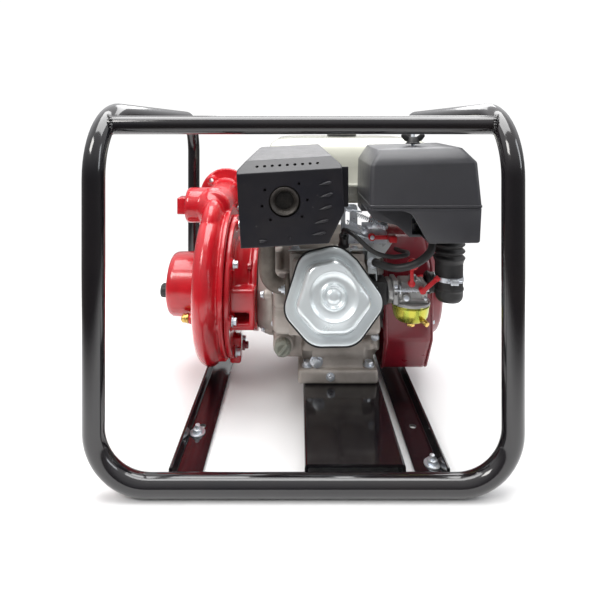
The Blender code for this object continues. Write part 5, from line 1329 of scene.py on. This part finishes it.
def controls():
    front = CARB_Y - 0.02
    x, z = BOWL_X - 0.004, CARB_Z + 0.018
    choke = [rod_y(front - 0.0004, front - 0.0076, x, z, 0.0054, steps=32, bevel=0.0008),
        block((x - 0.0028, front - 0.0078, z), (x + 0.0028, front - 0.005, z + 0.034), 0.001, 3),
        rod_y(front - 0.0182, front - 0.0056, x, z + 0.032, 0.0084, steps=40, bevel=0.0022)]
    piece("choke_knob", RED_PLASTIC, "choke", choke, ["choke_lever"], 45)
    x, z = BOWL_X + 0.012, CARB_Z + 0.008
    lean = Matrix.Translation((x, 0, z)) @ Matrix.Rotation(math.radians(48), 4, "Y")
    valve = [rod_y(front - 0.0004, front - 0.0118, x, z, 0.0049, steps=32, bevel=0.0008),
        block((-0.0034, front - 0.0124, 0.0), (0.0034, front - 0.0086, 0.0325), 0.0014, 3, lean),
        block((-0.0045, front - 0.0128, 0.025), (0.0045, front - 0.0084, 0.0328), 0.002, 3, lean)]
    piece("valve_knob", RED_PLASTIC, "fuel_valve", valve, ["fuel_valve_lever"], 45)
    sheet = plate(filleted([(0.0625, 0.2772, 0.003), (0.1375, 0.2772, 0.003), (0.1375, 0.2998, 0.006),
        (0.0895, 0.2998, 0.005), (0.0895, 0.3408, 0.006), (0.0625, 0.3408, 0.006)], 5), -0.1204, -0.1187,
        "Y")
    slot = plate(filleted(
        [(0.07, 0.308, 0.003), (0.077, 0.308, 0.003), (0.077, 0.33, 0.003), (0.07, 0.33, 0.003)], 5),
        -0.13, -0.11, "Y")
    hole = rod_y(-0.13, -0.11, 0.128, 0.2885, 0.003, steps=24)
    foot = block((0.1205, -0.1196, 0.2772), (0.1375, -0.0625, 0.2788), 0.0004, 1)
    piece("control_plate", ZINC, ROOT, [carve(sheet, slot, hole), foot], ["control_bracket"], 30,
        True)
    x, z = 0.112, 0.289
    arm = [rod_y(-0.1209, -0.1296, x, z, 0.0059, steps=32, bevel=0.0008),
        plate(filleted([(x - 0.004, z - 0.0034, 0.003), (x + 0.03, z - 0.0034, 0.001),
            (x + 0.03, z + 0.0034, 0.001), (x - 0.004, z + 0.0034, 0.003)], 5), -0.1298, -0.1272, "Y",
            0.0005, 2),
        block((x + 0.0242, -0.1476, z - 0.0048), (x + 0.0368, -0.1268, z + 0.0058), 0.0026, 4)]
    piece("throttle_knob", RED_PLASTIC, "throttle", arm, ["throttle_lever"], 45)
    pivot = rod_y(-0.1297, -0.1312, x, z, 0.0034, steps=24, bevel=0.0005)
    piece("throttle_rivet", ZINC, "throttle", [pivot], angle=40)
    springs = []
    for start, end, radius, turns in (((0.086, -0.126, 0.3265), (0.133, -0.13, 0.306), 0.003, 17),
            ((0.072, -0.126, 0.314), (0.101, -0.125, 0.3), 0.0026, 12)):
        coil = coiled(start, end, radius, turns)
        springs.append(tube(coil, 0.0007, 5))
    for start, end in (((0.07, -0.1235, 0.333), (0.096, -0.1235, 0.329)),
            ((0.112, -0.1245, 0.319), (0.133, -0.13, 0.306)),
            ((0.064, -0.124, 0.301), (0.118, -0.124, 0.283))):
        springs.append(rod(start, end, 0.0014, steps=12))
    for x, z in ((0.076, 0.3345), (0.118, 0.309), (0.101, 0.299), (0.133, 0.306)):
        springs += bolt((x, -0.1215, z), (0, -1, 0), 0.0086, 0.0048, 0.006)
    springs.append(block((0.096, -0.1212, 0.301), (0.137, -0.1198, 0.312), 0.0005, 2))
    piece("governor_springs", ZINC, ROOT, springs, angle=40)
    x, y = 0.128, -0.04
    governor = [rod_z(CASE_HIGH.z + 0.0004, 0.2888, x, y, 0.0038, steps=24, bevel=0.0005),
        plate(filleted([(x - 0.004, -0.1115, 0.004), (x + 0.004, -0.1115, 0.004),
            (x + 0.0055, -0.04, 0.005), (x, -0.036, 0.003), (x - 0.0055, -0.04, 0.005)], 5), 0.2862,
            0.2879, "Z")]
    governor.append(hexagon((x, y, 0.2876), (x, y, 0.291), 0.0078))
    piece("governor_lever", ZINC, "governor", governor, ["governor_arm"], 40)
    line = smooth([(0.113, -0.152, 0.256), (0.12, -0.17, 0.257), (0.14, -0.192, 0.259),
        (0.166, -0.198, 0.268), (0.188, -0.188, 0.281), (0.194, -0.18, 0.294), (0.194, -0.18, 0.303)], 90)
    cuffs = [tube(line[:5], 0.0066, 6), tube(line[-5:], 0.0066, 6)]
    piece("breather_tube", RUBBER, ROOT, [tube(line, 0.0058, 8)] + cuffs, ["breather_hose"], 50)


# ------------------------------------------------------------ starter side
FAN_X = (0.1355, 0.222)
RECOIL_X = 0.25


def fan_housing():
    low, high = FAN_X

    def outline(inset):
        reach = 0.122 - inset
        corners = [(-0.11 + inset, -0.06, 0.02), (-0.066, -0.13 + inset, 0.02),
            (0.08, -0.13 + inset, 0.03), (reach, -0.075, 0.03), (reach, 0.06, 0.04),
            (0.06, 0.12 - inset, 0.04), (-0.06, 0.12 - inset, 0.04), (-0.11 + inset, 0.065, 0.04)]
        return [(SHAFT.y + u, SHAFT.z + v) for u, v in filleted(corners, 8)]

    shell = plate(outline(0.0002), low, high, "X", 0.0105, 5, angle=60)
    inner = plate(outline(0.004), low - 0.001, high - 0.004, "X")
    mouth = rod_x(high - 0.01, high + 0.01, SHAFT.y, SHAFT.z, 0.07, steps=72)
    shell = carve(shell, inner, mouth)
    bead = []
    for inset, x in ((-0.0002, low + 0.0065), (0.003, high - 0.003)):
        line = [Vector((x, y, z)) for y, z in outline(inset)]
        bead.append(tube(line + line[:1], 0.0022, 5))
    rim = lathe(
        [(high - 0.0004, 0.07), (high + 0.0001, 0.07), (high + 0.0001, 0.0925), (high - 0.0004, 0.0925)],
        SHAFT, "X", 72)
    piece("fan_shell", HOUSING_PAINT, ROOT, [shell, rim] + bead, ["fan_housing"], 35,
        True)
    ears, heads = [], []
    for angle in (28, 118, 208, 298):
        centre = round_about(0.0865, angle, high)
        heads += bolt(centre + Vector((0.0045, 0, 0)), (1, 0, 0), 0.0098, 0.0052, 0.007)
    for y, z in ((-0.075, 0.128), (-0.075, 0.205), (0.135, 0.115), (0.135, 0.21)):
        way = -1 if y < 0 else 1
        ears.append(rod_x(low + 0.0025, low + 0.006, y, z, 0.009, steps=28, bevel=0.0008))
        heads += bolt((low + 0.0062, y + way * 0.0005, z), (1, 0, 0), 0.0098, 0.006, 0.007)
    piece("housing_ears", HOUSING_PAINT, ROOT, ears, angle=40)
    piece("housing_bolts", ZINC, ROOT, heads, angle=40)
    start = high + 0.0003
    profile = [(start, 0.0805), (start, 0.0915), (start + 0.001, 0.092), (start + 0.0042, 0.092),
        (start + 0.0052, 0.0905), (RECOIL_X - 0.0115, 0.0868), (RECOIL_X - 0.0075, 0.0845),
        (RECOIL_X - 0.003, 0.0765), (RECOIL_X - 0.0008, 0.0712), (RECOIL_X, 0.069), (RECOIL_X, 0.05),
        (RECOIL_X - 0.0012, 0.0485), (RECOIL_X - 0.0012, 0.033), (RECOIL_X, 0.0315), (RECOIL_X, 0.0),
        (RECOIL_X - 0.0029, 0.0), (RECOIL_X - 0.003, 0.068), (RECOIL_X - 0.0115, 0.08)]
    cover = lathe(profile[:15], SHAFT, "X", 96, closed=False)
    lining = lathe(profile[15:] + [(start, 0.0805)], SHAFT, "X", 96, closed=False)
    cover = joined(cover, lining)
    bm = bmesh.new()
    bm.from_mesh(cover.data)
    bmesh.ops.remove_doubles(bm, verts=bm.verts, dist=1e-6)
    bmesh.ops.recalc_face_normals(bm, faces=bm.faces)
    bm.to_mesh(cover.data)
    bm.free()
    slots = []
    for k in range(18):
        turn = Matrix.Translation(SHAFT) @ Matrix.Rotation(2 * math.pi * k / 18, 4, "X")
        slots.append(
            block((RECOIL_X - 0.02, -0.0024, 0.052), (RECOIL_X + 0.01, 0.0024, 0.066), 0.0022, 3, turn))
    rope_z = SHAFT.z + 0.058
    slots.append(rod_y(SHAFT.y, 0.14, 0.2355, rope_z, 0.0055, steps=28))
    cover = carve(cover, joined(*slots[:-1]), slots[-1])
    post = rod_x(0.228, RECOIL_X - 0.0015, SHAFT.y, SHAFT.z, 0.0136, steps=40)
    piece("recoil_shell", HOUSING_PAINT, ROOT, [cover, post], ["recoil_cover"], 35)
    grip = [block((0.225, 0.1184, rope_z - 0.0335), (0.246, 0.1395, rope_z + 0.0335), 0.007, 5)]
    for k in range(-2, 3):
        grip.append(block((0.2246, 0.121, rope_z + 0.0095 * k - 0.0016),
            (0.2464, 0.1396, rope_z + 0.0095 * k + 0.0016), 0.0015, 3))
    piece("grip_moulding", RUBBER, "grip", grip, ["starter_grip"], 40)
    face = SHAFT.y - 0.11
    x, z = 0.2, 0.206
    knob = [lathe([(0.0, 0.0), (0.0, 0.0118), (-0.002, 0.012), (-0.0095, 0.0116), (-0.0112, 0.0102),
            (-0.0116, 0.0)], (x, face - 0.0005, z), "Y", 40, closed=False),
        block((x - 0.0022, face - 0.0178, z - 0.0098), (x + 0.0022, face - 0.0085, z + 0.0098), 0.0014,
            3)]
    piece("stop_knob", RED_PLASTIC, "stop", knob, ["stop_switch"], 45)


# ------------------------------------------------------------ camera, floor, light
def fading_floor():
    """A round pale floor that fades into the backdrop at its edge."""
    look = surface("pale_floor", (0.86, 0.86, 0.86), 0.7, second=(0.84, 0.84, 0.84), patch=2, grain=90,
        bump=0.02)
    nodes, links = look.node_tree.nodes, look.node_tree.links
    place = nodes.new("ShaderNodeTexCoord")
    distance = nodes.new("ShaderNodeVectorMath")
    distance.operation = "LENGTH"
    links.new(place.outputs["Object"], distance.inputs[0])
    fade = nodes.new("ShaderNodeMapRange")
    fade.interpolation_type = "SMOOTHSTEP"
    fade.inputs["From Min"].default_value = 0.45
    fade.inputs["From Max"].default_value = 1.05
    fade.inputs["To Min"].default_value = 1.0
    fade.inputs["To Max"].default_value = 0.0
    links.new(distance.outputs["Value"], fade.inputs["Value"])
    links.new(fade.outputs["Result"], nodes["Principled BSDF"].inputs["Alpha"])
    bm = bmesh.new()
    bmesh.ops.create_circle(bm, cap_ends=True, segments=96, radius=1.1)
    floor = shape(bm)
    floor.name = "floor"
    floor.data.materials.append(look)


def backdrop():
    """White to look at; as light it is bright overhead and behind, and dim in front."""
    world = bpy.data.worlds.new("studio")
    scene.world = world
    world.use_nodes = True
    nodes, links = world.node_tree.nodes, world.node_tree.links
    seen = nodes["Background"]
    seen.inputs["Color"].default_value = (1.0, 1.0, 1.0, 1.0)
    seen.inputs["Strength"].default_value = 1.05
    light = nodes.new("ShaderNodeBackground")
    place = nodes.new("ShaderNodeTexCoord")
    split = nodes.new("ShaderNodeSeparateXYZ")
    links.new(place.outputs["Generated"], split.inputs["Vector"])
    height = nodes.new("ShaderNodeValToRGB")
    stops = height.color_ramp.elements
    stops[0].position, stops[0].color = 0.3, (0.16, 0.14, 0.13, 1)
    stops[1].position, stops[1].color = 1.0, (1.25, 1.25, 1.25, 1)
    for position, shade in ((0.5, 0.22), (0.6, 0.42), (0.74, 0.95)):
        stop = stops.new(position)
        stop.color = (shade, shade, shade * 1.02, 1)
    shift = nodes.new("ShaderNodeMapRange")
    shift.inputs["From Min"].default_value = -1.0
    links.new(split.outputs["Z"], shift.inputs["Value"])
    links.new(shift.outputs["Result"], height.inputs["Fac"])
    links.new(height.outputs["Color"], light.inputs["Color"])
    depth = nodes.new("ShaderNodeMapRange")
    depth.inputs["From Min"].default_value = -0.9
    depth.inputs["From Max"].default_value = 0.5
    depth.inputs["To Min"].default_value = 0.55
    depth.inputs["To Max"].default_value = 1.15
    links.new(split.outputs["Y"], depth.inputs["Value"])
    links.new(depth.outputs["Result"], light.inputs["Strength"])
    ray = nodes.new("ShaderNodeLightPath")
    choose = nodes.new("ShaderNodeMixShader")
    links.new(ray.outputs["Is Camera Ray"], choose.inputs["Fac"])
    links.new(light.outputs["Background"], choose.inputs[1])
    links.new(seen.outputs["Background"], choose.inputs[2])
    links.new(choose.outputs["Shader"], nodes["World Output"].inputs["Surface"])


def studio():
    fading_floor()
    backdrop()
    lamps = (("overhead", (0.0, -0.1, 2.0), (1.8, 1.4), 46, (1.0, 1.0, 1.0)),
        ("key", (-1.3, -1.5, 1.9), (0.8, 0.8), 24, (1.0, 0.98, 0.95)),
        ("fill", (1.9, -1.0, 1.2), (0.5, 1.2), 9, (0.92, 0.96, 1.0)),
        ("back", (0.3, 1.9, 1.7), (1.8, 1.0), 16, (1.0, 1.0, 1.0)))
    for name, place, (wide, high), power, colour in lamps:
        light = bpy.data.lights.new(name, "AREA")
        light.shape = "RECTANGLE"
        light.size, light.size_y = wide, high
        light.energy = power
        light.color = colour
        obj = linked(name, light)
        obj.location = place
        obj.rotation_euler = (Vector((0, 0, 0.22)) - Vector(place)).to_track_quat("-Z", "Y").to_euler()
    scene.view_settings.view_transform = "Standard"
    scene.view_settings.look = "None"


def camera():
    """Level, at the height of the cross bar, so that the posts stay upright."""
    data = bpy.data.cameras.new("camera")
    data.lens = 28.5
    data.sensor_width = 36
    data.shift_x = 0.0033
    data.shift_y = -0.2917
    data.clip_start = 0.01
    obj = linked("camera", data)
    obj.location = (-0.0067, -POST_Y - 0.6, 0.469)
    obj.rotation_euler = (math.radians(90), 0, 0)
    scene.camera = obj


studio()
camera()
roll_frame()
rail("left_rail", -1)
rail("right_rail", 1)
frame_bolts()
engine_plate()
volute()
suction_parts()
adapter()
crankcase()
block_fittings()
cylinder_head()
rocker_cover()
shroud()
spark_plug_parts()
exhaust()
exhaust_pipe()
fuel_tank()
air_cleaner()
carburettor()
intake_elbow()
controls()
fan_housing()
